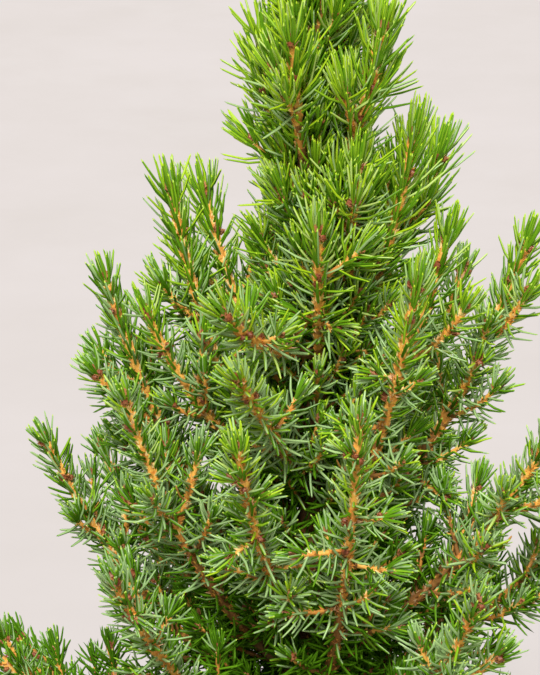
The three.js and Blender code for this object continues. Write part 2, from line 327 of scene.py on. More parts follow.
@dataclass(frozen=True)
class MottledFinish(Finish):
    """A surface whose colour wanders between tones in patches, with a second, paler bloom."""

    tones: tuple[str, ...] = ()
    patch: float = 8.0  # mm across one patch of a tone
    stretch: float = 1.0  # how much longer a patch is up and down
    bloom: str = "#ffffff"
    bloom_share: float = 0.0
    bloom_patch: float = 25.0  # mm
    patch_detail: float = 5.0
    patch_roughness: float = 0.62
    ramp: Span = (0.34, 0.66)  # noise where the first and the last tone stand
    bloom_detail: float = 6.0
    bloom_roughness: float = 0.7
    bloom_edge: Span = (0.52, 0.72)  # noise where the bloom starts and is full

    def dress(
        self, tree: bpy.types.NodeTree, body: bpy.types.Node, spot: bpy.types.NodeSocket
    ) -> None:
        """Feeds the mottled colour to the shader.

        Args:
            tree: the material's node tree.
            body: its shader.
            spot: the coordinates that the patterns follow.
        """
        squeeze = {"Scale": (1.0, 1.0, 1 / self.stretch)}
        drawn = add_node(tree, "ShaderNodeMapping", squeeze, {"Vector": spot}).outputs["Vector"]
        pattern = {
            "Scale": 1 / (self.patch * MM),
            "Detail": self.patch_detail,
            "Roughness": self.patch_roughness,
        }
        patches = add_node(tree, "ShaderNodeTexNoise", pattern, {"Vector": drawn}).outputs["Fac"]
        ramp = add_node(tree, "ShaderNodeValToRGB", {}, {"Fac": patches})
        stops = ramp.color_ramp.elements
        while len(stops) < len(self.tones):
            stops.new(0.5)
        for i, tone in enumerate(self.tones):
            stops[i].position = lerp(*self.ramp, i / (len(self.tones) - 1))
            stops[i].color = linear(tone)
        pattern = {
            "Scale": 1 / (self.bloom_patch * MM),
            "Detail": self.bloom_detail,
            "Roughness": self.bloom_roughness,
        }
        cloud = add_node(tree, "ShaderNodeTexNoise", pattern, {"Vector": spot}).outputs["Fac"]
        start, full = self.bloom_edge
        edge = {"From Min": start, "From Max": full, "To Max": self.bloom_share}
        mask = add_node(tree, "ShaderNodeMapRange", edge, {"Value": cloud}).outputs["Result"]
        colours = {"Factor": mask, MIX_A: ramp.outputs["Color"]}
        mixed = add_node(tree, "ShaderNodeMix", {"data_type": "RGBA"}, colours)
        mixed.inputs[MIX_B].default_value = linear(self.bloom)
        tree.links.new(mixed.outputs[MIX_COLOUR], body.inputs["Base Color"])


# Living needles: leaf tissue grown under a thin coat of wax, which gives a soft gleam. Their own
# green is yellow-green while young, deeper later, and bluish with bloom lower down. One upper face
# of each needle is a paler copy, part wax bloom and part painted highlight; the lower faces are
# darker copies, and needles deep in the crown and in the lowest storey a dark green: both painted
# shade. The wax's own texture is finer than a pixel, so it is drawn at 0.5 mm.
NEEDLE_FRESH = Finish("needle_fresh", "#accd22", (0.36, 0.5), 0.5, 0.02, specular=0.26)
NEEDLE_LEAF = Finish("needle_leaf", "#8db822", (0.36, 0.5), 0.5, 0.02, specular=0.22)
NEEDLE_DEEP = Finish("needle_deep", "#629318", (0.4, 0.54), 0.5, 0.02, specular=0.12)
NEEDLE_BLUE = Finish("needle_bluish", "#95b474", (0.38, 0.54), 0.5, 0.02, specular=0.3)
# Painted shade: the dark green of needles deep in the crown and in the lowest storey.
NEEDLE_SHADE = Finish("needle_shaded", "#48740e", (0.4, 0.56), 0.5, 0.02, specular=0.05)
NEEDLE_DRY = Finish("needle_dry", "#c99048", (0.5, 0.7), 0.5, 0.02, specular=0.3)
NEEDLE_TIP = Finish("needle_tip", "#b2cf48", (0.34, 0.48), 0.5, 0.01, specular=0.5)
# Painted highlight, partly real wax bloom: the paler upper face of fresh needles, then of leaf and
# bluish ones.
NEEDLE_WAX_AND_HIGHLIGHT = Finish("needle_waxy_face", "#bdd670", (0.28, 0.42), 0.5, 0.02, specular=0.8)
NEEDLE_BLOOM_AND_HIGHLIGHT = Finish("needle_bloomy_face", "#a7c67e", (0.3, 0.44), 0.5, 0.02, specular=0.8)
# Twig skin: young bark without cork, matt, orange where it is a year old and brown later.
TWIG_YOUNG = Finish("twig_young_bark", "#f4b552", (0.55, 0.75), 0.7, 0.12)
TWIG_GOLD = Finish("twig_gold_bark", "#ffdc96", (0.5, 0.7), 0.7, 0.1)
TWIG_RUST = Finish("twig_rust_bark", "#d8933e", (0.6, 0.8), 0.7, 0.14)
TWIG_OLD = Finish("twig_old_bark", "#976630", (0.7, 0.88), 0.9, 0.18)
# Buds: hard, dry scales, a little resinous, so they catch small highlights.
BUD_SCALE = Finish("bud_scale", "#8c4a2c", (0.35, 0.55), 0.6, 0.05)
BUD_EDGE = Finish("bud_scale_edge", "#b4754a", (0.4, 0.6), 0.6, 0.05)
BUD_PAPER = Finish("bud_paper_scale", "#f0c090", (0.5, 0.7), 0.6, 0.05)
# Trunk bark: thin corky flakes over tan inner bark, quite matt.
BARK = MottledFinish(
    "trunk_bark",
    "#8a6344",
    (0.72, 0.92),
    1.2,
    0.35,
    tones=("#573920", "#764f29", "#916438", "#a97b4a"),
    patch=3.5,
    stretch=2.2,
    bloom="#8f8068",
    bloom_share=0.3,
    bloom_patch=14.0,
)
# Pot: unglazed terracotta, pressed and fired, matt and chalky, with lime bloom from watering.
CLAY = MottledFinish(
    "terracotta",
    "#b8663f",
    (0.78, 0.93),
    0.9,
    0.1,
    ior=1.5,
    tones=("#a9572f", "#b9653c", "#c27248"),
    patch=22.0,
    bloom="#d9b9a0",
    bloom_share=0.55,
    bloom_patch=42.0,
)
# Growing mix: damp peat, crumbly and dark, with bark chips and a little white perlite.
PEAT = MottledFinish(
    "damp_peat",
    "#3a281c",
    (0.85, 1.0),
    0.8,
    0.4,
    tones=("#22170f", "#3a281c", "#523a28"),
    patch=3.0,
    bloom="#5e4632",
    bloom_share=0.5,
    bloom_patch=9.0,
)
CHIP = Finish("bark_chip", "#6b4a33", (0.7, 0.9), 1.0, 0.25)
CHIP_PALE = Finish("bark_chip_pale", "#94704d", (0.7, 0.9), 1.0, 0.25)
PERLITE = Finish("perlite_grain", "#e4dfd6", (0.75, 0.95), 0.6, 0.1)
# Studio floor: seamless paper, dead matt.
PAPER = MottledFinish(
    "studio_paper",
    "#ccc4bf",
    (0.9, 1.0),
    2.0,
    0.02,
    specular=0.1,
    tones=("#b0aaa7", "#b4aeac"),
    patch=240.0,
    bloom="#b7b2b0",
    bloom_share=0.5,
    bloom_patch=400.0,
)


class Template(NamedTuple):
    """A small shape that is repeated: its points, its faces and each face's slot."""

    points: Array
    faces: list[Array]
    slots: list[int]


@dataclass
class MeshPile:
    """Faces of one kind, gathered in arrays and made into a single mesh."""

    name: str
    finishes: list[Finish]
    slot: str
    points: list[Array] = field(default_factory=list)
    faces: list[Array] = field(default_factory=list)
    slots: list[Array] = field(default_factory=list)
    smooth: list[Array] = field(default_factory=list)
    count: int = 0

    def add(self, points: Array, faces: Array, slots: Array | int) -> None:
        """Adds points and the rounded surface between them.

        Args:
            points: places in mm, one a row.
            faces: each row's corners, as numbers of those points.
            slots: which finish each face has, or one for them all.
        """
        self.points.append(points)
        self.join(faces, slots, True)
        self.count += len(points)

    def join(
        self, faces: Array, slots: Array | int, smooth: bool, first: int | None = None
    ) -> None:
        """Adds faces between points that the pile holds, or is about to.

        Args:
            faces: each row's corners, counted from the first of those points.
            slots: which finish each face has, or one for them all.
            smooth: whether the faces are shaded as one rounded surface.
            first: the number of that first point, if it isn't the next one.
        """
        base = self.count if first is None else first
        self.faces.append(faces + base)
        self.slots.append(np.broadcast_to(slots, (len(faces),)))
        self.smooth.append(np.full(len(faces), smooth))

    def scatter(self, shape: Template, places: Array, frames: Array) -> None:
        """Repeats a small shape.

        Args:
            shape: what is repeated.
            places: where each one stands.
            frames: for each one, the three vectors that its own axes become.
        """
        many, each = len(places), len(shape.points)
        points = places[:, None, :] + np.einsum("pk,nkc->npc", shape.points, frames)
        offsets = np.arange(many)[:, None, None] * each
        first = self.count
        self.points.append(points.reshape(-1, 3))
        for faces, slot in zip(shape.faces, shape.slots):
            self.join((faces[None] + offsets).reshape(-1, faces.shape[1]), slot, False, first)
        self.count += many * each

    def tube(self, points: Array, radii: Array, slots: Array | int) -> None:
        """Adds a closed tube along a line of points.

        Args:
            points: its centre line.
            radii: for each point, the radius in each direction round it.
            slots: the finish of each stretch between two points.
        """
        rings, sides = radii.shape
        along = unit(np.gradient(points, axis=0))
        chord = unit(points[-1] - points[0])
        across = SIDEWAYS if abs(chord[2]) > STEEP else UP
        side = unit(np.cross(along, across))
        over = np.cross(along, side)
        turn = circle(sides)
        out = side[:, None] * turn[None, :, :1] + over[:, None] * turn[None, :, 1:]
        skin = points[:, None] + out * radii[..., None]
        first = self.count
        per_ring = np.repeat(np.broadcast_to(slots, (rings - 1,)), sides)
        self.add(skin.reshape(-1, 3), ring_quads(rings, sides), per_ring)
        caps = np.array([np.arange(sides)[::-1], (rings - 1) * sides + np.arange(sides)])
        self.join(caps[:1], per_ring[0], False, first)
        self.join(caps[1:], per_ring[-1], False, first)

    def triangles(self) -> int:
        """Counts the pile's triangles."""
        return sum(len(faces) * (faces.shape[1] - 2) for faces in self.faces)

    def make(self) -> bpy.types.Object:
        """Makes the mesh.

        Returns:
            The new object, which isn't tied to the frame yet.
        """
        sizes = np.concatenate([np.full(len(f), f.shape[1]) for f in self.faces])
        corners = np.concatenate([f.ravel() for f in self.faces]).astype(np.int32)
        places = (np.concatenate(self.points) * MM).astype(np.float32)
        mesh = bpy.data.meshes.new(self.name)
        mesh.vertices.add(len(places))
        mesh.vertices.foreach_set("co", places.ravel())
        mesh.loops.add(len(corners))
        mesh.loops.foreach_set("vertex_index", corners)
        mesh.polygons.add(len(sizes))
        starts = np.concatenate([[0], np.cumsum(sizes)[:-1]]).astype(np.int32)
        mesh.polygons.foreach_set("loop_start", starts)
        mesh.polygons.foreach_set("material_index", np.concatenate(self.slots).astype(np.int32))
        mesh.polygons.foreach_set("use_smooth", np.concatenate(self.smooth))
        mesh.update(calc_edges=True)
        for finish in self.finishes:
            mesh.materials.append(finish.material())
        thing = bpy.data.objects.new(self.name, mesh)
        bpy.context.scene.collection.objects.link(thing)
        return thing

    def build(self, stands_for: list[str]) -> bpy.types.Object:
        """Makes the mesh and ties it to the frame as a finished piece.

        Args:
            stands_for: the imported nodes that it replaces.

        Returns:
            The new object.
        """
        thing = self.make()
        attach(thing, BODY)
        if stands_for:
            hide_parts(*stands_for)
        LOG.info("%s: %d triangles", self.name, self.triangles())
        return thing


@dataclass
class Stem:
    """A bent line from a root by a belly to a tip, walked by share of its length."""

    root: Array
    belly: Array
    tip: Array
    STEPS: ClassVar[int] = 200

    def __post_init__(self) -> None:
        """Measures how far along the line each of its even steps lies."""
        self.steps = np.linspace(0, 1, self.STEPS + 1)
        line = self.raw(self.steps)
        gaps = np.linalg.norm(np.diff(line, axis=0), axis=1)
        self.marks = np.concatenate([[0], np.cumsum(gaps)])
        self.length = float(self.marks[-1])

    def raw(self, t: Array) -> Array:
        """Gives the line's points at values of its own parameter."""
        t = np.asarray(t, float)[..., None]
        return (1 - t) ** 2 * self.root + 2 * t * (1 - t) * self.belly + t * t * self.tip

    def spot(self, share: float | Array) -> Array:
        """Gives the points at shares of the length."""
        return self.raw(np.interp(np.asarray(share) * self.length, self.marks, self.steps))

    def way(self, share: float | Array) -> Array:
        """Gives the line's directions at shares of the length."""
        t = np.interp(np.asarray(share) * self.length, self.marks, self.steps)[..., None]
        return unit((1 - t) * (self.belly - self.root) + t * (self.tip - self.belly))

    def leaning(self, share: float | Array, angle: float | Array, lean: float | Array) -> Array:
        """Gives directions that lean away from the line.

        Args:
            share: where along the line they start.
            angle: degrees round it.
            lean: degrees between the line and the direction.

        Returns:
            One direction for each share.
        """
        along = self.way(share)
        side = side_of(along)
        over = np.cross(side, along)
        round_it = np.radians(angle)[..., None]
        tilt = np.radians(lean)[..., None]
        away = side * np.cos(round_it) + over * np.sin(round_it)
        return along * np.cos(tilt) + away * np.sin(tilt)


class Bough(NamedTuple):
    """One main bough: where it leaves the trunk, how far it goes, and what it carries."""

    name: str
    height: float  # of its root on the trunk
    bearing: float
    reach: float
    rise: float
    sides: int
    limb: bool = False  # whether a bare limb carries the mass
    straight: bool = False  # whether it doesn't turn up on its way


BOUGHS = [
    Bough("crown_front", 288, 268, 22, 48, 0),
    Bough("crown_front_right", 306, 305, 15, 46, 1),
    Bough("crown_right", 283, 350, 25, 74, 1),
    Bough("crown_back_right", 298, 30, 37, 48, 1),
    Bough("crown_back", 312, 95, 20, 46, 2),
    Bough("crown_left", 314, 202, 10.5, 44, 1),
    Bough("top_front", 344, 252, 16, 41, 1),
    Bough("top_right", 337, 325, 21, 50, 2),
    Bough("top_back", 342, 60, 18, 50, 1),
    Bough("top_left", 334, 164, 13.5, 48, 1),
    Bough("shoulder_right_front", 232, 314, 37, 92, 0),
    Bough("shoulder_right", 246, 3, 36, 82, 1),
    Bough("shoulder_back_right", 258, 62, 38, 70, 2),
    Bough("shoulder_back", 250, 104, 42, 78, 2),
    Bough("shoulder_back_left", 270, 136, 42, 62, 1),
    Bough("shoulder_left", 240, 167, 39, 98, 1),
    Bough("shoulder_left_low", 254, 190, 45, 56, 1),
    Bough("shoulder_left_front", 296, 236, 46, 24, 0),
    Bough("middle_front_left", 254, 249, 54, 53, 0, straight=True),
    Bough("middle_right", 232, 14, 60, 90, 2, True),
    Bough("middle_right_back", 224, 44, 60, 82, 2),
    Bough("middle_back_right", 214, 82, 62, 84, 2),
    Bough("middle_back_left", 226, 122, 62, 74, 2),
    Bough("middle_left_back", 202, 152, 62, 94, 2, True),
    Bough("middle_left", 214, 174, 57, 100, 1, True),
    Bough("middle_left_front", 196, 208, 57, 97, 1, True),
    Bough("front_left", 214, 252, 66, 80, 0, True),
    Bough("front", 186, 279, 63, 115, 0, True),
    Bough("middle_right_front", 206, 340, 66, 76, 2),
    Bough("low_right", 190, 2, 82, 66, 2, True),
    Bough("low_back_right", 182, 62, 82, 70, 2),
    Bough("low_back", 186, 100, 84, 66, 2),
    Bough("low_back_left", 178, 140, 82, 68, 2),
    Bough("low_left", 182, 180, 74, 88, 1, True),
    Bough("low_front_left", 176, 228, 78, 80, 2, True),
    Bough("low_front_right", 174, 298, 84, 84, 1, True),
    Bough("skirt_right", 150, 14, 98, 40, 3),
    Bough("skirt_right_back", 162, 49, 92, 60, 3),
    Bough("skirt_back_right", 152, 84, 98, 38, 3),
    Bough("skirt_back_left", 164, 118, 92, 60, 3),
    Bough("skirt_left_back", 150, 155, 98, 38, 3),
    Bough("skirt_left", 162, 194, 94, 58, 3),
    Bough("skirt_left_front", 152, 222, 97, 42, 3),
    Bough("skirt_front_left", 160, 259, 94, 58, 3),
    Bough("skirt_front_right", 150, 295, 97, 40, 3),
    Bough("skirt_right_front", 162, 336, 94, 58, 3),
]
LEADER = "leader"


class SideTwig(NamedTuple):
    """One side twig that shows in the photograph, on a bough at the front."""

    behind: float  # mm behind the bough's tip
    bearing: float
    rise: float  # degrees above the level
    length: float


# The side twigs of the boughs that face the camera, which are seen one by one.
SEEN = {
    name: [SideTwig(*row) for row in rows]
    for name, rows in {
        "crown_front": [(14, 345, 34, 14), (27, 200, 8, 6), (28, 320, -12, 6)],
        "shoulder_right_front": [
            (28, 200, 8, 6),
            (34, 330, 34, 10),
            (43, 205, -6, 13),
            (58, 20, 30, 15),
        ],
        "shoulder_left_front": [(13, 80, 50, 6), (21, 330, 24, 7), (34, 20, 44, 12)],
        "middle_front_left": [(9, 150, 20, 4), (34, 20, 50, 12), (50, 190, 20, 14)],
        "front_left": [
            (13, 186, 22, 3.5),
            (20, 350, 26, 3.5),
            (34, 215, -30, 9),
            (50, 345, 8, 12),
            (58, 190, 20, 15),
        ],
        "front": [
            (12, 200, 40, 3.5),
            (33, 350, 6, 9),
            (43, 200, -4, 14),
            (48, 338, -8, 12),
            (66, 200, -4, 15),
            (78, 350, 6, 17),
        ],
        "low_front_left": [(13, 300, -10, 4), (29, 30, 60, 10), (46, 190, 10, 13)],
        "middle_right_front": [(67, 40, 78, 20), (48, 120, 60, 20)],
        "middle_right": [(72, 300, -10, 18)],
    }.items()
}


class Zone(Enum):
    """A storey of the crown, whose needles are one piece."""

    TOP = "top"
    CROWN = "crown"
    SHOULDER = "shoulder"
    MIDDLE = "middle"
    MIDDLE_FRONT = "middle_front"
    LOW = "low"
    SKIRT_FRONT = "skirt_front"
    SKIRT_BACK = "skirt_back"

    @classmethod
    def of(cls, bough: Bough) -> Zone:
        """Tells which storey a bough belongs to.

        Args:
            bough: a row of the table.

        Returns:
            Its storey.
        """
        storey = bough.name.split("_")[0]
        ahead = bough.bearing > 180
        if storey == "skirt":
            return cls.SKIRT_FRONT if ahead else cls.SKIRT_BACK
        if storey == "front" or (storey == "middle" and ahead):
            return cls.MIDDLE_FRONT
        return cls(storey)


@dataclass
class Trunk:
    """The trunk: upright, tapering, with a root flare and a slight sway towards its tip."""

    foot: float = 128.3
    top: float = 352.0
    root_radius: float = 9.5
    base_radius: float = 5.2
    tip_radius: float = 1.7
    flare_height: float = 13.0
    sway: float = 3.0
    sway_back: float = 1.5
    sway_wave: float = 110.0
    sway_start: float = 275.0
    sides: int = 36
    ring_gap: float = 1.1
    relief: float = 0.42
    flare_fall: float = 3.0  # how fast the flare dies away over its height
    flakes: Bumps = Bumps(1.0, 3.2, 3)
    cracks: Bumps = Bumps(0.5, 1.3, 4)
    flake_middle: float = 0.45  # relief at which the bark has its plain radius
    flake_squash: float = 0.45  # makes the flakes longer up and down
    smooth_under: float = 4.0  # radius under which the bark gets smoother
    lobes: int = 5  # of the root flare
    lobe_depth: float = 1.1
    lobe_turn: float = 0.7  # radians
    lobe_height: float = 9.0

    def centre(self, z: float | Array) -> Array:
        """Gives the middle of the trunk.

        Args:
            z: one height or more.

        Returns:
            The place of the middle at each.
        """
        z = np.asarray(z, float)
        share = np.maximum(0, (z - self.foot) / (self.top - self.foot)) ** 2
        phase = 2 * np.pi * (z - self.sway_start) / self.sway_wave
        x, y = share * self.sway * np.sin(phase), share * self.sway_back * np.cos(phase)
        return np.stack([x, y, z], -1)

    def radius(self, z: float | Array) -> Array:
        """Gives the trunk's plain radius.

        Args:
            z: one height or more.

        Returns:
            The radius at each.
        """
        rise = np.asarray(z, float) - self.foot
        plain = lerp(self.base_radius, self.tip_radius, rise / (self.top - self.foot))
        flare = np.exp(-self.flare_fall * rise / self.flare_height)
        return plain + (self.root_radius - self.base_radius) * flare

    def grow(self, pile: MeshPile) -> None:
        """Adds the trunk's bark, with flakes below and smoother skin above.

        Args:
            pile: the mesh that holds the wood.
        """
        z = np.arange(self.foot, self.top + self.ring_gap / 2, self.ring_gap)
        middle = self.centre(z)
        angle = np.arange(self.sides) * 2 * np.pi / self.sides
        rim = circle(self.sides)
        plain = self.radius(z)
        places = np.empty((len(z), self.sides, 3))
        places[..., :2] = middle[:, None, :2] + rim * plain[:, None, None]
        places[..., 2] = z[:, None]
        flat = places.reshape(-1, 3) * (1, 1, self.flake_squash)
        flakes = np.abs(rough(flat, (self.flakes,))) - self.flake_middle
        flakes += rough(flat, (self.cracks,))
        deep = self.relief * np.minimum(1, plain / self.smooth_under)
        radii = plain[:, None] + deep[:, None] * flakes.reshape(len(z), -1)
        low = np.exp(-(z - self.foot) / self.lobe_height)[:, None]
        lobes = self.lobe_depth * np.cos(self.lobes * angle + self.lobe_turn) * low
        pile.tube(middle, radii + lobes, 0)


@dataclass
class Shoot:
    """One twig: its line, its thickness, and where its needles start."""

    stem: Stem
    start: float  # share of the stem where the twig begins
    root_radius: float
    tip_radius: float
    bare: float  # share of the stem without needles
    mass: int
    rank: Rank
    key: int
    seen: bool = False  # whether it is one of the side twigs that show in the photograph
    nodes: list[float] = field(default_factory=list)  # shares where side shoots leave it
    TAPER: ClassVar[float] = 0.42  # under 1, it thins soonest near its root

    def radius(self, share: Array) -> Array:
        """Gives the twig's plain radius at shares of its stem."""
        along = np.clip((share - self.start) / (1 - self.start), 0, 1)
        return lerp(self.root_radius, self.tip_radius, along**self.TAPER)

    def draws(self, what: Draw) -> np.random.Generator:
        """Gives the twig's own random numbers for one purpose."""
        return np.random.default_rng([self.mass, self.key, int(self.rank), int(what)])


@dataclass
class Space:
    """The room of each mass: clear of the trunk and nearer to its own stem than to others."""

    trunk: Trunk
    stems: list[Stem]
    clear: float = 1.1
    steps: int = 8

    def __post_init__(self) -> None:
        """Cuts each stem into a few straight steps."""
        self.lines = np.stack([stem.spot(np.linspace(0, 1, self.steps + 1)) for stem in self.stems])

    def distances(self, points: Array) -> Array:
        """Measures from each point to each stem.

        Args:
            points: places, one a row.

        Returns:
            A row of distances for each point.
        """
        found = np.empty((len(points), len(self.lines)))
        for i, line in enumerate(self.lines):
            start, step = line[:-1], np.diff(line, axis=0)
            gap = points[:, None] - start
            share = np.clip((gap * step).sum(-1) / (step * step).sum(-1), 0, 1)
            found[:, i] = np.linalg.norm(gap - share[..., None] * step, axis=-1).min(1)
        return found

    def from_trunk(self, points: Array) -> Array:
        """Measures from each point to the trunk's bark.

        Args:
            points: places, one a row.

        Returns:
            The distance of each, below zero inside the trunk.
        """
        height = np.minimum(points[:, 2], self.trunk.top)
        middle = self.trunk.centre(height)
        return np.linalg.norm(points - middle, axis=1) - self.trunk.radius(height)

    def room(self, points: Array, mass: int) -> Array:
        """Tells how much room a mass has at each point.

        Args:
            points: places, one a row.
            mass: the number of the mass.

        Returns:
            The free radius at each point, below zero outside the mass's space.
        """
        found = self.distances(points)
        own = found[:, mass].copy()
        found[:, mass] = np.inf
        return np.minimum(self.from_trunk(points), (found.min(1) - own) / 2) - self.clear / 2


@dataclass
class Growth:
    """The rule by which boughs, side shoots and finer twigs grow."""

    trunk: Trunk
    belly_out: float = 0.62  # share of its reach that a bough has covered at its belly
    belly_up: float = 0.25  # the same of its rise
    straight_belly: float = 0.5
    thin_root: float = 1.15
    thick_per_length: float = 0.0105
    limb_share: float = 0.42
    stem_tip: Span = (0.86, 1.16)  # low on the plant, and high up
    tip_low: float = 280.0  # height of a tip up to which its end is thin
    tip_high: float = 340.0
    side_root: float = 0.9
    side_tip: float = 0.66
    twig_root: float = 0.7
    twig_tip: float = 0.52
    inner_bare: float = 12.0  # mm of a bough next to the trunk without needles
    leader_length: float = 71.0
    leader_sides: int = 5
    leader_bare: float = 0.02
    side_first: float = 0.35
    side_last: float = 0.84
    side_share: float = 0.32
    side_longest: float = 30.0
    tipward: float = 0.35  # how much shorter side shoots are towards the tip
    uneven: float = 0.3
    side_bare: float = 4.0
    side_probes: tuple[float, ...] = (0.5, 0.75, 1.0)  # where a side shoot's room is measured
    side_room: float = 1.0
    spread: float = 40.0
    lift: float = 0.8
    tries: int = 6
    seen_bare: float = 0.14
    seen_lift: float = 0.24
    whorl_gap: float = 15.0  # mm between the places where finer twigs leave a stem
    whorl_first: float = 17.0  # mm behind the tip
    short_stem: float = 62.0  # a bough shorter than this branches closer to its tip
    long_first: float = 31.0  # where the first whorl may stand on a longer bough
    seen_first: float = 58.0  # the same on a bough whose twigs are given one by one
    few_seen: int = 2  # a bough with no more than this many given twigs has whorls among them
    whorl_twigs: int = 2
    whorl_scatter: float = 9.0
    whorl_uneven: Span = (0.85, 1.2)
    whorl_last: float = 0.02  # share of the stem kept free next to its bare foot
    twig_longest: float = 19.0
    twig_shortest: float = 7.0
    twig_per_back: float = 0.34  # length gained for each mm behind the tip
    twig_least: float = 0.6  # of the shortest length, right at the tip
    twig_uneven: Span = (0.75, 1.2)
    twig_spread: float = 46.0
    twig_spread_swing: float = 8.0  # degrees
    twig_turn_swing: float = 60.0
    twig_probes: tuple[float, ...] = (0.5, 0.8, 1.0)
    twig_room: float = 0.6
    twig_bare: float = 1.5  # mm
    twig_apart: float = 6.5  # least distance between two tips
    bud_node: Span = (8.0, 12.5)  # mm behind the tip, where buds sit
    inner_from: float = 146.0  # height of the lowest twig on the trunk itself
    inner_above: float = 38.0  # how far above the trunk's tip they go on up the leader
    inner_gap: float = 0.88
    inner_long: float = 40.0
    inner_short: float = 19.0
    inner_uneven: Span = (0.8, 1.2)
    inner_turn_swing: float = 15.0  # degrees
    inner_steep: Span = (20.0, 66.0)  # degrees above the level, lowest and highest
    inner_steepening: float = 1.5
    inner_steep_swing: float = 8.0
    inner_lift: float = 0.4
    inner_foot: float = 1.5  # mm outside the bark without needles
    inner_probes: tuple[float, ...] = (0.6, 0.8, 1.0)
    inner_apart: float = 2.8  # least distance from such a twig to a bough

    def bough_stem(self, bough: Bough) -> Stem:
        """Gives a bough's line, out from the trunk's middle and then up.

        Args:
            bough: a row of the table.

        Returns:
            Its line.
        """
        root = self.trunk.centre(bough.height)
        out = heading(bough.bearing, 0.0)
        ahead = self.straight_belly if bough.straight else self.belly_out
        lift = self.straight_belly if bough.straight else self.belly_up
        belly = root + out * ahead * bough.reach + UP * lift * bough.rise
        return Stem(root, belly, root + out * bough.reach + UP * bough.rise)

    def leader_stem(self) -> Stem:
        """Gives the line of the leader, on from the trunk's tip.

        Returns:
            Its line.
        """
        foot = self.trunk.centre(self.trunk.top)
        tip = self.trunk.centre(self.trunk.top + self.leader_length)
        return Stem(foot, (foot + tip) / 2, tip)

    def rising(self, root: Array, way: Array, length: float, lift: float) -> Stem:
        """Gives the line of a shoot that sets out one way and turns up halfway.

        Args:
            root: where it starts.
            way: the direction that it sets out in.
            length: its length.
            lift: how far it turns up.

        Returns:
            Its line.
        """
        belly = root + way * length / 2
        return Stem(root, belly, belly + unit(way + lift * UP) * length / 2)

    def side_stem(self, stem: Stem, at: float, angle: float, spread: float, length: float) -> Stem:
        """Gives the line of a side shoot, which leaves a stem and turns back up.

        Args:
            stem: what it grows from.
            at: share of that stem.
            angle: degrees round the stem.
            spread: degrees between the two at the fork.
            length: its own length.

        Returns:
            Its line.
        """
        return self.rising(stem.spot(at), stem.leaning(at, angle, spread), length, self.lift)

    def grow(self) -> tuple[Space, list[Shoot]]:
        """Grows the whole crown.

        Returns:
            The masses' spaces, and every shoot.
        """
        stems = [self.bough_stem(bough) for bough in BOUGHS] + [self.leader_stem()]
        space = Space(self.trunk, stems)
        shoots: list[Shoot] = []
        for i, bough in enumerate(BOUGHS):
            root = self.thin_root + self.thick_per_length * stems[i].length
            bare = self.inner_bare / stems[i].length
            high = rise_between(stems[i].tip[2], self.tip_low, self.tip_high - self.tip_low)
            main = Shoot(stems[i], 0.0, root, lerp(*self.stem_tip, high), bare, i, Rank.MAIN, i)
            first = self.limb_share if bough.limb else 0.0
            shoots += self.mass(main, first, bough.sides, space)
        shoots += self.inner(space)
        last, root, tip = len(BOUGHS), self.trunk.tip_radius, self.stem_tip[1]
        leader = Shoot(stems[last], 0.0, root, tip, self.leader_bare, last, Rank.MAIN, last)
        shoots += self.mass(leader, 0.0, self.leader_sides, space)
        return space, shoots

    def inner(self, space: Space) -> list[Shoot]:
        """Grows the short twigs that clothe the trunk between the boughs.

        Args:
            space: the rooms of all masses.

        Returns:
            The twigs, each counted with the mass that it ends nearest to.
        """
        rng = np.random.default_rng(int(Draw.INNER))
        grown: list[Shoot] = []
        heights = np.arange(self.inner_from, self.trunk.top + self.inner_above, self.inner_gap)
        for n, height in enumerate(heights):
            share = (height - self.inner_from) / (self.trunk.top - self.inner_from)
            length = lerp(self.inner_long, self.inner_short, share)
            length *= rng.uniform(*self.inner_uneven)
            swing = rng.uniform(-self.inner_turn_swing, self.inner_turn_swing)
            steep = lerp(*self.inner_steep, share**self.inner_steepening)
            steep += rng.uniform(-self.inner_steep_swing, self.inner_steep_swing)
            way = heading(n * TURN + swing, steep)
            line = self.rising(self.trunk.centre(height), way, length, self.inner_lift)
            gaps = space.distances(line.spot(self.inner_probes))
            if gaps.min() < self.inner_apart:
                continue
            bare = (float(self.trunk.radius(height)) + self.inner_foot) / line.length
            grown.append(self.fine(line, bare, int(gaps[-1].argmin()), INNER_KEY + n))
        return grown

    def fine(self, line: Stem, bare: float, mass: int, key: int, seen: bool = False) -> Shoot:
        """Makes one of the finer twigs.

        Args:
            line: its line.
            bare: share of it without needles.
            mass: the number of its mass.
            key: its own number in that mass.
            seen: whether it shows in the photograph.

        Returns:
            The twig.
        """
        return Shoot(line, 0.0, self.twig_root, self.twig_tip, bare, mass, Rank.FINE, key, seen)

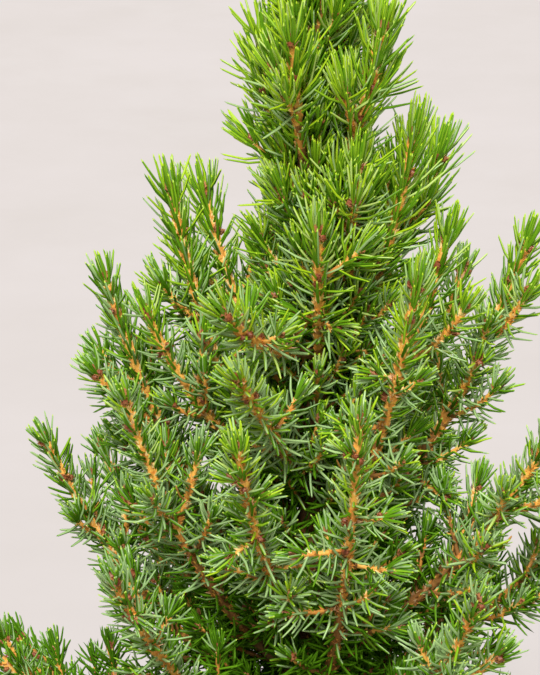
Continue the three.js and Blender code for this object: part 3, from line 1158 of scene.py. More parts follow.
    def mass(self, main: Shoot, first: float, sides: int, space: Space) -> list[Shoot]:
        """Grows one mass: its stem, its side shoots, and finer twigs on them all.

        Args:
            main: the mass's own stem.
            first: share of the stem where side shoots may start.
            sides: how many side shoots the rule asks for.
            space: the rooms of all masses.

        Returns:
            The mass's shoots.
        """
        stem, key = main.stem, main.mass
        longest = min(self.side_share * stem.length, self.side_longest)
        grown = [main]
        for n in range(sides):
            at = lerp(max(first, self.side_first), self.side_last, (n + 0.5) / sides)
            uneven = 1 + self.uneven * (chance(key, n, 3) - 0.5)
            length = longest * (1 - self.tipward * at) * uneven
            for t in range(self.tries):
                angle = n * TURN + 360 * (chance(key, 4) + t / self.tries)
                line = self.side_stem(stem, at, angle, self.spread, length)
                if space.room(line.spot(self.side_probes), key).min() <= self.side_room:
                    continue
                bare = self.side_bare / line.length
                side = Shoot(line, 0.0, self.side_root, self.side_tip, bare, key, Rank.SIDE, n + 1)
                main.nodes.append(at)
                grown.append(side)
                break
        tips = [shoot.stem.tip for shoot in grown]
        seen = SEEN.get(BOUGHS[key].name, []) if key < len(BOUGHS) else []
        for n, twig in enumerate(seen):
            at = 1 - twig.behind / stem.length
            way = heading(twig.bearing, twig.rise)
            line = self.rising(stem.spot(at), way, twig.length, self.seen_lift)
            grown.append(self.fine(line, self.seen_bare, key, SEEN_KEY + n, seen=True))
            main.nodes.append(at)
            tips.append(line.tip)
        first = self.whorl_first if stem.length < self.short_stem else self.long_first
        if len(seen) > self.few_seen:
            first = self.seen_first
        for shoot in [shoot for shoot in grown if not shoot.seen]:
            grown += self.finer(shoot, space, tips, first)
        return grown

    def finer(self, parent: Shoot, space: Space, tips: list[Array], first: float) -> list[Shoot]:
        """Grows finer twigs in whorls along a shoot.

        Args:
            parent: the shoot that carries them.
            space: the rooms of all masses.
            tips: where the mass's shoots already end; the new tips are added.
            first: mm behind the shoot's tip where the first whorl may stand.

        Returns:
            The finer twigs.
        """
        rng = np.random.default_rng([parent.mass, parent.key, int(Draw.WHORLS)])
        parent.nodes.append(1 - rng.uniform(*self.bud_node) / parent.stem.length)
        stem = parent.stem
        grown: list[Shoot] = []
        back = first + self.whorl_scatter * rng.random()
        whorl = 0
        while 1 - back / stem.length > parent.bare + self.whorl_last:
            at = 1 - back / stem.length
            parent.nodes.append(at)
            for n in range(self.whorl_twigs):
                length = self.twig_shortest * self.twig_least + self.twig_per_back * back
                length = max(self.twig_shortest, min(length, self.twig_longest))
                length *= rng.uniform(*self.twig_uneven)
                for t in range(self.tries):
                    angle = whorl * TURN + 360 * (n / self.whorl_twigs + t / self.tries / 2)
                    angle += self.twig_turn_swing * rng.random()
                    swing = rng.uniform(-self.twig_spread_swing, self.twig_spread_swing)
                    line = self.side_stem(stem, at, angle, self.twig_spread + swing, length)
                    if space.room(line.spot(self.twig_probes), parent.mass).min() <= self.twig_room:
                        continue
                    if min(np.linalg.norm(np.array(tips) - line.tip, axis=1)) < self.twig_apart:
                        continue
                    key = 100 * parent.key + 10 * whorl + n + WHORL_KEY
                    grown.append(self.fine(line, self.twig_bare / line.length, parent.mass, key))
                    tips.append(line.tip)
                    break
            whorl += 1
            back += self.whorl_gap * rng.uniform(*self.whorl_uneven)
        return grown


@dataclass
class Needles:
    """Needles: short, four-sided, blunt, and bent a little towards the shoot's tip."""

    per_mm: Three = (2.4, 2.1, 1.85)  # for each rank of shoot
    crowding: float = 0.75  # how much closer together they stand towards the tip
    at_tip: int = 13
    tip_gap: float = 0.8  # mm
    tip_lean_span: Span = (6.0, 52.0)
    turn_swing: float = 10.0  # degrees
    seat: float = 0.8  # of the twig's radius, where they are rooted
    length: float = 9.3
    shorter_tip: float = 0.16  # of the length, lost towards the shoot's tip
    uneven: Span = (0.86, 1.1)
    fine_length: float = 0.92  # on finer twigs, of the length elsewhere
    top_length: float = 14.2
    top_from: float = 300.0
    top_full: float = 340.0
    half_width: float = 0.45
    half_thickness: float = 0.37
    lean: float = 74.0
    top_lean: float = 57.0
    tip_lean: float = 32.0
    bunching: float = 3.6
    clump_gap: float = 8.5  # mm between the places where needles stand closer together
    clumping: float = 0.6
    bend: float = 0.2
    bend_uneven: Span = (0.3, 1.8)
    side_bend: float = 1e-4  # for a needle that lies along its twig, which has no way to bend
    size_uneven: Span = (0.88, 1.12)
    roll: float = 0.5  # radians
    upsweep: float = 0.08
    top_upsweep: float = 0.22
    stray: float = 12.0  # degrees
    inner_share: float = 0.75  # of the needles that are left near a shoot's foot
    inner_end: float = 0.4  # share of the needled stretch by which all are left
    pale_tips: float = 0.35  # share of the needles whose point is yellow-green
    foot: float = 170.0  # height of the lowest needles
    rise: float = 200.0  # from there, mm up to where the green is yellowest
    lowest: float = 80.0  # from there, mm up to the end of the plain dark lower storey
    yellow_high: float = 0.52  # from there, mm up to the end of the lowest storey, darkened with painted shade
    yellow_tip: float = 0.2  # how much yellower a shoot's tip is than its foot
    yellow_high_tip: float = 0.14  # the same, added at the top
    yellow_swing: float = 0.14  # from needle to needle
    yellow_spray: float = 0.1  # from shoot to shoot
    blue_left: float = 0.14  # painted shade: how much less yellow, so darker, the left side is
    left_from: float = 25.0
    left_span: float = 30.0
    yellow_steps: Span = (-0.66, -0.42)  # where fresh turns to leaf, and leaf to deep
    bloom_share: float = 0.75  # of the needles low on the plant that are bluish
    bloom_high: float = 0.14  # of those at the top
    low_wax: float = 0.25  # share of the lowest needles that keep the paler face of bloom and painted highlight; the rest lose it as painted shade
    depth_swing: float = 0.1
    dry_share: float = 0.003
    dry_from: float = 0.3  # share of the way in from the crown's skin
    shade_from: float = 0.62  # the same, from where needles take the dark green of painted shade
    shade_high: float = 0.32  # how much farther in that is at the top
    shade_low: float = 0.45  # how much farther out it is in the lowest storey
    overlap: float = -5.5  # how far a needle may reach into another mass's space
    seen_overlap: float = -14.0  # the same for the side twigs that show in the photograph
    rings: tuple[Span, ...] = ((0.0, 0.85), (0.5, 1.0), (0.93, 0.66))
    hidden_rings: tuple[Span, ...] = ((0.0, 0.85), (0.7, 0.95))  # deep in the crown
    TONES: ClassVar[list[Finish]] = [
        NEEDLE_FRESH, NEEDLE_LEAF, NEEDLE_DEEP, NEEDLE_BLUE, NEEDLE_SHADE,
        NEEDLE_DRY, NEEDLE_TIP, NEEDLE_WAX_AND_HIGHLIGHT, NEEDLE_BLOOM_AND_HIGHLIGHT,
    ]  # fmt: skip
    BLUE_SLOT: ClassVar[int] = 3
    SHADE_SLOT: ClassVar[int] = 4
    DRY_SLOT: ClassVar[int] = 5
    TIP_SLOT: ClassVar[int] = 6
    BRIGHT: ClassVar[Array] = np.array([7, 8, 3, 8, 2, 5])  # for each tone, slot of its paler facet: part wax bloom, part painted highlight
    DARK: ClassVar[Array] = np.array([2, 2, 4, 2, 4, 5])  # painted shade: slot of one lower facet, a darker copy of the tone
    UNDER: ClassVar[Array] = np.array([1, 2, 4, 3, 4, 5])  # painted shade: slot of the other lower facet, darker than the tone where it can be

    def rooted(self, shoot: Shoot, space: Space) -> dict[str, Array]:
        """Sets needles round one shoot.

        Args:
            shoot: the twig that carries them.
            space: the rooms of all masses.

        Returns:
            Arrays of the needles' roots, directions, bends, lengths and ages.
        """
        rng = shoot.draws(Draw.NEEDLES)
        stem = shoot.stem
        first, last = shoot.bare, 1 - self.tip_gap / stem.length
        count = int((last - first) * stem.length * self.per_mm[shoot.rank])
        order = (np.arange(count) + rng.random(count)) / max(count, 1)
        share = lerp(first, last, order**self.crowding)
        wave = self.clump_gap / stem.length
        swing = np.sin(2 * np.pi * (share / wave + rng.random()))
        share = np.clip(share + self.clumping * wave / (2 * np.pi) * swing, first, last)
        share = np.concatenate([share, np.full(self.at_tip, last)])
        along = np.clip((share - first) / max(last - first, TINY), 0, 1)
        height = rise_between(stem.spot(share)[:, 2], self.top_from, self.top_full - self.top_from)
        tilt = lerp(lerp(self.lean, self.top_lean, height), self.tip_lean, along**self.bunching)
        tilt[count:] = rng.uniform(*self.tip_lean_span, self.at_tip)
        tilt = tilt + self.stray * rng.normal(size=len(tilt))
        angle = np.arange(len(share)) * TURN + 360 * rng.random()
        angle += self.turn_swing * rng.normal(size=len(share))
        way = stem.leaning(share, angle, tilt)
        axis = stem.way(share)
        away = stem.leaning(share, angle, np.full(len(share), 90.0))
        way = unit(way + UP * lerp(self.upsweep, self.top_upsweep, height)[:, None])
        place = stem.spot(share) + away * (self.seat * shoot.radius(share))[:, None]
        left = lerp(self.inner_share, 1.0, rise_between(along, 0.0, self.inner_end))
        keep = rng.random(len(share)) < left
        length = lerp(self.length, self.top_length, height)
        length = length * (1 - self.shorter_tip * along) * rng.uniform(*self.uneven, len(share))
        if shoot.rank is Rank.FINE:
            length = length * self.fine_length
        tips = place + way * length[:, None]
        overlap = self.seen_overlap if shoot.seen else self.overlap
        free = keep & (space.room(tips, shoot.mass) > overlap)
        bend = axis - (axis * way).sum(1, keepdims=True) * way
        bend = unit(bend + self.side_bend * side_of(way))
        found = {"root": place, "way": way, "bend": bend, "length": length, "age": along}
        return {key: value[free] for key, value in found.items()}

    def tones(self, found: dict[str, Array], rng: np.random.Generator, shoot: Shoot) -> Array:
        """Deals the greens out: yellower high up and at the tips and bluer low down, with painted
        shade: dark green deep inside and in the lowest storey, and less yellow on the left.

        Args:
            found: the arrays that `rooted` gives.
            rng: the shoot's random numbers for this.
            shoot: the twig that carries the needles.

        Returns:
            The slot of each needle.
        """
        root = found["root"]
        height = rise_between(root[:, 2], self.foot, self.rise)
        score = self.yellow_high * height
        score += (self.yellow_tip + self.yellow_high_tip * height) * found["age"]
        score += self.yellow_swing * rng.normal(size=len(height))
        score += self.yellow_spray * (chance(shoot.mass, shoot.key, 9) - 0.5)
        # Painted shade: the left side is dealt less yellow, darker greens.
        score -= self.blue_left * rise_between(-root[:, 0], self.left_from, self.left_span)
        tone = np.digitize(-score, self.yellow_steps)
        depth = inwardness(root) + self.depth_swing * rng.normal(size=len(root))
        # Painted shade in the lowest storey: few bluish needles there, and the dark green reaches
        # farther out.
        low = self.above_lowest(root)
        share = self.bloom_share * (1 - height) * low + self.bloom_high * height
        bluish = (tone > 0) & (rng.random(len(tone)) < share)
        tone = np.where(bluish, self.BLUE_SLOT, tone)
        # Painted shade: needles deep in the crown take the dark green.
        shaded = depth > self.shade_from + self.shade_high * height - self.shade_low * (1 - low)
        tone = np.where(shaded, self.SHADE_SLOT, tone)
        dry = (depth > self.dry_from) & (rng.random(len(tone)) < self.dry_share)
        return np.where(dry, self.DRY_SLOT, tone)

    def above_lowest(self, root: Array) -> Array:
        """Gives 0 for the lowest needles and 1 above the lowest storey."""
        return rise_between(root[:, 2], self.foot, self.lowest)

    def add(
        self,
        pile: MeshPile,
        found: dict[str, Array],
        tones: Array,
        rings: tuple[Span, ...],
        seed: int,
    ) -> None:
        """Adds needles to a pile.

        Args:
            pile: their mesh.
            found: the arrays that `rooted` gives.
            tones: each needle's slot.
            rings: for each ring of points, its share of the length and of the full width.
            seed: picks their small differences.
        """
        rng = np.random.default_rng([seed, int(Draw.NEEDLE_SIZES)])
        many = len(found["root"])
        way, bend, length = found["way"], found["bend"], found["length"][:, None]
        side = np.cross(bend, way)
        curl = self.bend * rng.uniform(*self.bend_uneven, (many, 1))
        size = rng.uniform(*self.size_uneven, many)
        roll = rng.uniform(-self.roll, self.roll, many)
        points = np.empty((many, 4 * len(rings) + 1, 3))
        for r, (t, wide) in enumerate(rings):
            middle = found["root"] + way * length * t + bend * length * curl * t * t
            for k in range(4):
                angle = roll + k * np.pi / 2
                out = side * (np.cos(angle) * self.half_width * wide * size)[:, None]
                out += bend * (np.sin(angle) * self.half_thickness * wide * size)[:, None]
                points[:, 4 * r + k] = middle + out
        points[:, -1] = found["root"] + way * length + bend * length * curl
        each = points.shape[1]
        base = np.arange(many)[:, None, None] * each
        k = np.arange(4)
        after = (k + 1) % 4
        first = pile.count
        pile.points.append(points.reshape(-1, 3))
        # Painted light: of the two upper facets one has the tone and one its paler copy (wax bloom
        # and painted highlight), fewer of those low down; the two lower facets are darker copies,
        # as painted shade.
        bright, dark, under = self.BRIGHT[tones], self.DARK[tones], self.UNDER[tones]
        turned = rng.random(many) < 0.5
        highlight_share = lerp(self.low_wax, 1.0, self.above_lowest(found["root"]))
        bright = np.where(rng.random(many) < highlight_share, bright, tones)
        slots = np.stack(
            [np.where(turned, bright, tones), np.where(turned, tones, bright), dark, under], 1
        )
        for r in range(len(rings) - 1):
            quads = 4 * r + np.stack([k, after, after + 4, k + 4], -1)
            pile.join((base + quads).reshape(-1, 4), slots.ravel(), True, first)
        end = 4 * (len(rings) - 1)
        caps = np.stack([end + k, end + after, np.full(4, each - 1)], -1)
        pale = (rng.random(many) < self.pale_tips) & (tones < self.SHADE_SLOT)
        ends = np.where(pale, self.TIP_SLOT, tones)
        pile.join((base + caps).reshape(-1, 3), np.repeat(ends, 4), True, first)
        pile.count += many * each


@dataclass
class Twigs:
    """Twigs: bumpy young bark, with a peg under each needle and papery scales at the nodes."""

    sides: tuple[int, int, int] = (9, 7, 5)  # for each rank of shoot, as are the next two
    ring_gap: Three = (1.0, 1.4, 2.4)
    scales: tuple[int, int, int] = (11, 7, 5)  # papery ones in a ring
    relief: float = 0.14
    least_radius: float = 0.3
    tip_share: float = 0.5  # of the radius, at the very tip
    node_swell: float = 0.32
    node_length: float = 1.3
    old_until: float = 0.38  # share of a stem up to which its bark is brown
    rust_until: float = 0.5
    rust_share: float = 0.45  # of the stretches farther out
    age_swing: float = 0.12
    younger: float = 0.2  # how much younger side shoots look
    older_deep: float = 0.5  # painted shade: how much older, so browner, the wood is drawn deep in the lower crown and low down
    deep_below: float = 300.0
    deep_fade: float = 60.0
    deep_from: float = 0.35  # share of the way in from the crown's skin
    deep_span: float = 0.3
    lowest_below: float = 225.0
    lowest_fade: float = 50.0
    peg_width: float = 0.54
    peg_length: float = 1.7
    peg_uneven: Span = (0.8, 1.2)
    peg_forward: float = 0.5
    peg_back: float = 0.25  # mm that a peg starts behind its needle's root
    peg_deep: float = 0.6  # painted shade: how much darker the pegs deep in the lower crown and low down are
    scars_per_mm: float = 2.7  # pegs that have lost their needle
    scar_lean: Span = (20.0, 60.0)
    seat: float = 0.8  # of the twig's radius, where such a peg is rooted
    scale_length: float = 2.1
    scale_width: float = 0.75
    scale_thickness: float = 0.22
    scale_long: Span = (0.6, 1.2)
    scale_wide: Span = (0.7, 1.3)
    scale_lean: Span = (18.0, 55.0)
    scale_turn: float = 40.0
    scale_scatter: float = 0.7  # mm along the twig
    scale_seat: float = 0.85
    scale_ring: float = 1.2  # mm from a side shoot's foot to its first ring
    tip_ring: float = 0.97  # share of a main stem where its last ring is
    foot_gap: float = 0.05  # share of the stem next to its foot without other rings
    paper_share: float = 0.55
    FINISHES: ClassVar[list[Finish]] = [TWIG_YOUNG, TWIG_GOLD, TWIG_RUST, TWIG_OLD, BUD_PAPER]
    YOUNG_SLOT: ClassVar[int] = 0
    GOLD_SLOT: ClassVar[int] = 1
    RUST_SLOT: ClassVar[int] = 2
    OLD_SLOT: ClassVar[int] = 3
    PAPER_SLOT: ClassVar[int] = 4
    DEAL: ClassVar[tuple] = (  # for each slot, the least and the most that its pegs may draw
        (GOLD_SLOT, 0.0, 0.4),
        (YOUNG_SLOT, 0.4, 0.88),
        (RUST_SLOT, 0.88, 1.25),
        (OLD_SLOT, 1.25, 2.0),
    )
    PEG: ClassVar[Template] = Template(
        np.array([[1, 0, 0], [-0.5, 0.866, 0], [-0.5, -0.866, 0], [0, 0, 1.0]]),
        [np.array([[0, 1, 3], [1, 2, 3], [2, 0, 3], [0, 2, 1]])],
        [0],
    )

    def tones(self, shoot: Shoot, share: Array, rng: np.random.Generator) -> Array:
        """Picks each stretch's colour: brown by the trunk, orange and gold farther out, and browner
        deep in the lower crown and in the lowest storey as painted shade.

        Args:
            shoot: the twig.
            share: where on its stem each stretch lies.
            rng: the twig's own random numbers.

        Returns:
            The slot of each stretch.
        """
        age = share + self.age_swing * rng.normal(size=len(share))
        age += self.younger if shoot.rank is not Rank.MAIN else 0.0
        # Painted shade: deep in the lower crown and in the lowest storey the bark is drawn older
        # and browner.
        age -= self.older_deep * self.deep(shoot.stem.spot(share))
        rust = (age < self.rust_until) | (rng.random(len(share)) < self.rust_share)
        out = np.where(rust, self.RUST_SLOT, self.YOUNG_SLOT)
        return np.where(age < self.old_until, self.OLD_SLOT, out)

    def deep(self, points: Array) -> Array:
        """Tells how much painted shade the wood gets by its place, drawn as older and browner bark.

        Args:
            points: places in mm, one a row.

        Returns:
            For each, 1 deep in the lower crown and in the lowest storey, and 0 at the skin.
        """
        low = rise_between(-points[:, 2], -self.deep_below, self.deep_fade)
        lowest = rise_between(-points[:, 2], -self.lowest_below, self.lowest_fade)
        inside = rise_between(inwardness(points), self.deep_from, self.deep_span)
        return np.maximum(low * inside, lowest)

    def add(self, pile: MeshPile, shoot: Shoot, found: dict[str, Array]) -> None:
        """Adds a twig, its pegs and its scales.

        Args:
            pile: the twigs' mesh.
            shoot: the twig.
            found: the arrays of the needles on it.
        """
        rng = shoot.draws(Draw.BARK)
        stem = shoot.stem
        start = shoot.start
        sides = self.sides[shoot.rank]
        rings = max(4, int((1 - start) * stem.length / self.ring_gap[shoot.rank]) + 1)
        share = np.linspace(start, 1, rings)
        points = stem.spot(share)
        radii = shoot.radius(share)[:, None] + self.relief * rng.normal(size=(rings, sides))
        for node in shoot.nodes:
            gap = (share - node) * stem.length / self.node_length
            radii += self.node_swell * np.exp(-(gap**2))[:, None]
        radii[-1] *= self.tip_share
        middles = (share[1:] + share[:-1]) / 2
        pile.tube(points, np.maximum(radii, self.least_radius), self.tones(shoot, middles, rng))
        root = found["root"] - self.peg_back * found["way"]
        self.pegs(pile, root, found["way"], found["bend"], rng)
        if shoot.rank is not Rank.FINE:
            count = int((1 - start) * stem.length * self.scars_per_mm)
            spots = lerp(start, 1.0, rng.random(count))
            angle = 360 * rng.random(count)
            ahead = stem.leaning(spots, angle, rng.uniform(*self.scar_lean, count))
            away = stem.leaning(spots, angle, np.full(count, 90.0))
            root = stem.spot(spots) + away * (self.seat * shoot.radius(spots))[:, None]
            self.pegs(pile, root, ahead, stem.way(spots), rng)
        self.papers(pile, shoot, rng)

    def pegs(
        self, pile: MeshPile, root: Array, way: Array, forward: Array, rng: np.random.Generator
    ) -> None:
        """Adds pegs, under needles or where needles have dropped.

        Args:
            pile: the twigs' mesh.
            root: where each one stands.
            way: where each one points, before it leans forward.
            forward: the way of the twig there.
            rng: the twig's own random numbers.
        """
        many = len(root)
        tall = self.peg_length * rng.uniform(*self.peg_uneven, (many, 1))
        ahead = unit(way + self.peg_forward * forward)
        side = side_of(ahead)
        over = np.cross(ahead, side)
        frames = np.stack([side * self.peg_width, over * self.peg_width, ahead * tall], 1)
        # Painted shade: pegs deep in the lower crown and low down draw darker slots.
        deal = rng.random(many) + self.peg_deep * self.deep(root)
        for tone, low, high in self.DEAL:
            chosen = (deal >= low) & (deal < high)
            shape = Template(self.PEG.points, self.PEG.faces, [tone])
            pile.scatter(shape, root[chosen], frames[chosen])

    def papers(self, pile: MeshPile, shoot: Shoot, rng: np.random.Generator) -> None:
        """Adds rings of dry scales where side shoots leave and near the tip.

        Args:
            pile: the twigs' mesh.
            shoot: the twig.
            rng: its own random numbers.
        """
        stem = shoot.stem
        spots = [node for node in shoot.nodes if node > shoot.start + self.foot_gap]
        at_foot = shoot.start + self.scale_ring / stem.length
        spots.append(self.tip_ring if shoot.rank is Rank.MAIN else at_foot)
        count = self.scales[shoot.rank]
        for spot in spots:
            share = spot + rng.normal(size=count) * self.scale_scatter / stem.length
            share = np.clip(share, 0, 1)
            angle = np.arange(count) * 360 / count + self.scale_turn * rng.random(count)
            ahead = stem.leaning(share, angle, rng.uniform(*self.scale_lean, count))
            away = stem.leaning(share, angle, np.full(count, 90.0))
            side = unit(np.cross(ahead, away))
            over = np.cross(ahead, side)
            wide = self.scale_width * rng.uniform(*self.scale_wide, (count, 1))
            tall = self.scale_length * rng.uniform(*self.scale_long, (count, 1))
            frames = np.stack([side * wide, over * self.scale_thickness, ahead * tall], 1)
            root = stem.spot(share) + away * (shoot.radius(share) * self.scale_seat)[:, None]
            paper = rng.random(count) < self.paper_share
            for tone, chosen in ((self.PAPER_SLOT, paper), (self.RUST_SLOT, ~paper)):
                shape = Template(self.PEG.points, self.PEG.faces, [tone])
                pile.scatter(shape, root[chosen], frames[chosen])


@dataclass
class Buds:
    """Winter buds: small eggs of red-brown scales, in twos and threes at the shoots' tips."""

    width: float = 1.4
    height: float = 1.6
    rows: tuple[tuple[float, int], ...] = ((0.2, 4), (0.5, 4), (0.76, 3))  # rise, and scales there
    sides: int = 6
    tiers: int = 3
    point: float = 2.05  # height of a bud of radius one
    scale_half: float = 0.5  # half a scale's width
    scale_sunk: float = 0.98
    scale_rib: Span = (0.16, 0.25)  # its middle: how far out, and how high
    scale_end: Span = (0.05, 0.85)  # its tip
    scale_lean: Span = (0.25, 0.75)  # outwards at the foot, and less by this above
    end_gap: float = 0.6  # mm from the shoot's tip to its end bud
    seat: float = 0.7  # of the twig's radius, where the other buds stand
    beside: Span = (0.8, 2.2)  # mm behind the tip, where side buds stand
    fine_beside: float = 0.35  # share of the finer twigs that have one
    node_from: float = 0.55  # share of the shoot past which its nodes have buds
    node_chance: Three = (0.9, 0.7, 0.7)  # for each rank of shoot
    twin_chance: Three = (0.75, 0.4, 0.4)
    twin_gap: float = 0.9  # mm
    uneven: Span = (0.85, 1.15)
    fine_size: float = 0.85
    END: ClassVar[Span] = (0.0, 1.0)  # lean and size
    BESIDE: ClassVar[Span] = (42.0, 0.72)
    NODE: ClassVar[Span] = (58.0, 0.8)
    TWIN: ClassVar[Span] = (62.0, 0.62)
    FINISHES: ClassVar[list[Finish]] = [BUD_SCALE, BUD_EDGE, BUD_PAPER]

    def shape(self) -> Template:
        """Makes one bud of unit size, standing on the origin.

        Returns:
            Its core and its overlapping scales.
        """
        sides, tiers = self.sides, self.tiers
        points = [[0.0, 0.0, 0.0]]
        for tier in range(1, tiers):
            polar = np.pi * tier / tiers
            wide, high = np.sin(polar), 1 - np.cos(polar)
            points += [[wide * x, wide * y, high] for x, y in circle(sides)]
        points.append([0.0, 0.0, self.point])
        top = len(points) - 1
        tris, quads = [], []
        for k in range(sides):
            after = (k + 1) % sides
            tris.append([0, 1 + after, 1 + k])
            end = 1 + (tiers - 2) * sides
            tris.append([end + k, end + after, top])
            for tier in range(tiers - 2):
                a = 1 + tier * sides
                quads.append([a + k, a + after, a + after + sides, a + k + sides])
        scales = []
        (rib_out, rib_up), (end_out, end_up) = self.scale_rib, self.scale_end
        lean, tuck = self.scale_lean
        for row, (rise, count) in enumerate(self.rows):
            for k in range(count):
                angle = 2 * np.pi * (k + 0.5 * (row % 2)) / count
                out = np.array([np.cos(angle), np.sin(angle), 0.0])
                side = np.array([-np.sin(angle), np.cos(angle), 0.0])
                polar = np.arccos(1 - 2 * rise)
                foot = out * np.sin(polar) * self.scale_sunk + UP * (1 - np.cos(polar))
                up = unit(UP - out * (tuck * rise - lean))
                base = len(points)
                points += [
                    list(foot + side * self.scale_half),
                    list(foot - side * self.scale_half),
                    list(foot + out * rib_out + up * rib_up),
                    list(foot + up * end_up + out * end_out),
                ]
                scales += [[base, base + 3, base + 2], [base + 2, base + 3, base + 1]]
        faces = [np.array(rows) for rows in (tris, quads, scales)]
        return Template(np.array(points), faces, [0, 0, 1])

    def grow(self, pile: MeshPile, shoots: list[Shoot]) -> int:
        """Sets buds at the tips of the shoots and at some of their nodes.

        Args:
            pile: the buds' mesh.
            shoots: every shoot of the crown.

        Returns:
            How many buds there are.
        """
        rng = np.random.default_rng(int(Draw.BUDS))
        places, frames = [], []
        for shoot in shoots:
            stem = shoot.stem
            spots = [(1 - self.end_gap / stem.length, *self.END)]
            fine = shoot.rank is Rank.FINE
            beside = int(rng.random() < self.fine_beside) if fine else int(rng.integers(1, 3))
            for _ in range(beside):
                spots.append((1 - rng.uniform(*self.beside) / stem.length, *self.BESIDE))
            for node in shoot.nodes:
                if node > self.node_from and rng.random() < self.node_chance[shoot.rank]:
                    spots.append((node, *self.NODE))
                    if rng.random() < self.twin_chance[shoot.rank]:
                        spots.append((node - self.twin_gap / stem.length, *self.TWIN))
            for k, (share, lean, size) in enumerate(spots):
                angle = k * TURN + 360 * rng.random()
                way = stem.leaning(share, angle, lean)
                away = stem.leaning(share, angle, 90.0)
                size = size * rng.uniform(*self.uneven) * (self.fine_size if fine else 1.0)
                side = side_of(way)
                over = np.cross(way, side)
                root = stem.spot(share)
                if lean:
                    root = root + away * shoot.radius(np.array(share)) * self.seat
                wide = self.width * size
                places.append(root)
                frames.append(np.stack([side * wide, over * wide, way * self.height * size]))
        pile.scatter(self.shape(), np.array(places), np.array(frames))
        return len(places)


@dataclass
class Crown:
    """The living tree: wood, twigs, buds and needles."""

    trunk: Trunk
    growth: Growth
    needles: Needles = field(default_factory=Needles)
    twigs: Twigs = field(default_factory=Twigs)
    buds: Buds = field(default_factory=Buds)
    bough_sides: int = 9
    bough_gap: float = 1.4
    wood_share: float = 0.25  # of each bough's line that has corky bark
    wood_bumps: Bumps = Bumps(0.3, 1.6, 23)
    wood_drift: Three = (1.7, 0.9, 0.0)  # mm from side to side in the relief
    wood_overlap: float = 0.4  # mm that the twig's skin reaches under it
    collar: float = 0.9

    def build(self) -> None:
        """Grows the tree and makes its pieces."""
        space, shoots = self.growth.grow()
        LOG.info("shoots: %d, length %.0f mm", len(shoots), sum(s.stem.length for s in shoots))
        self.build_wood(shoots)
        piles = {zone: MeshPile("needles_" + zone.value, Needles.TONES, "needles") for zone in Zone}
        storeys = {
            "upper": (Zone.TOP, Zone.CROWN, Zone.SHOULDER),
            "middle": (Zone.MIDDLE, Zone.MIDDLE_FRONT),
            "lower": (Zone.LOW, Zone.SKIRT_FRONT, Zone.SKIRT_BACK),
        }
        twigs = {storey: MeshPile("twigs_" + storey, Twigs.FINISHES, "twig") for storey in storeys}
        zones = [Zone.of(bough) for bough in BOUGHS] + [Zone.TOP]
        total = 0
        for shoot in shoots:
            found = self.needles.rooted(shoot, space)
            tones = self.needles.tones(found, shoot.draws(Draw.TONES), shoot)
            zone = zones[shoot.mass]
            seed = 1000 * shoot.mass + shoot.key
            hidden = tones == Needles.SHADE_SLOT
            dark = {key: value[hidden] for key, value in found.items()}
            seen = {key: value[~hidden] for key, value in found.items()}
            self.needles.add(piles[zone], dark, tones[hidden], self.needles.hidden_rings, seed)
            self.needles.add(piles[zone], seen, tones[~hidden], self.needles.rings, seed)
            storey = next(name for name, held in storeys.items() if zone in held)
            self.twigs.add(twigs[storey], shoot, seen)
            total += len(tones)
        LOG.info("needles: %d", total)
        for zone, pile in piles.items():
            stands_for = [b.name + "_spray" for b, z in zip(BOUGHS, zones) if z is zone]
            if zone is Zone.TOP:
                stands_for.append(LEADER + "_spray")
            pile.build(stands_for)
        for pile in twigs.values():
            pile.build([])
        buds = MeshPile("buds", Buds.FINISHES, "twig")
        LOG.info("buds: %d", self.buds.grow(buds, shoots))
        buds.build([])

    def build_wood(self, shoots: list[Shoot]) -> None:
        """Makes the bark-covered trunk and the bare foot of each bough.

        Args:
            shoots: every shoot; each main one then starts where its bare wood ends.
        """
        wood = MeshPile("trunk_and_boughs", [BARK], "bark")
        self.trunk.grow(wood)
        for shoot in shoots:
            if shoot.rank is not Rank.MAIN or shoot.mass == len(BOUGHS):
                continue
            stem = shoot.stem
            end = self.wood_share
            rings = int(end * stem.length / self.bough_gap) + 2
            share = np.linspace(0.0, end, rings)
            points = stem.spot(share)
            plain = shoot.radius(share)
            flat = np.repeat(points, self.bough_sides, 0)
            turn = np.tile(np.arange(self.bough_sides), rings)
            flat = flat + turn[:, None] * np.array(self.wood_drift)
            bumps = rough(flat, (self.wood_bumps,)).reshape(rings, -1)
            collar = np.exp(-((share * stem.length / (self.trunk.base_radius + 1)) ** 2))
            wood.tube(points, (plain + self.collar * collar)[:, None] + bumps, 0)
            shoot.start = end - self.wood_overlap / stem.length
            shoot.root_radius = float(plain[-1])
        nodes = ["trunk"] + [bough.name + "_bough" for bough in BOUGHS if bough.limb]
        wood.build(nodes)


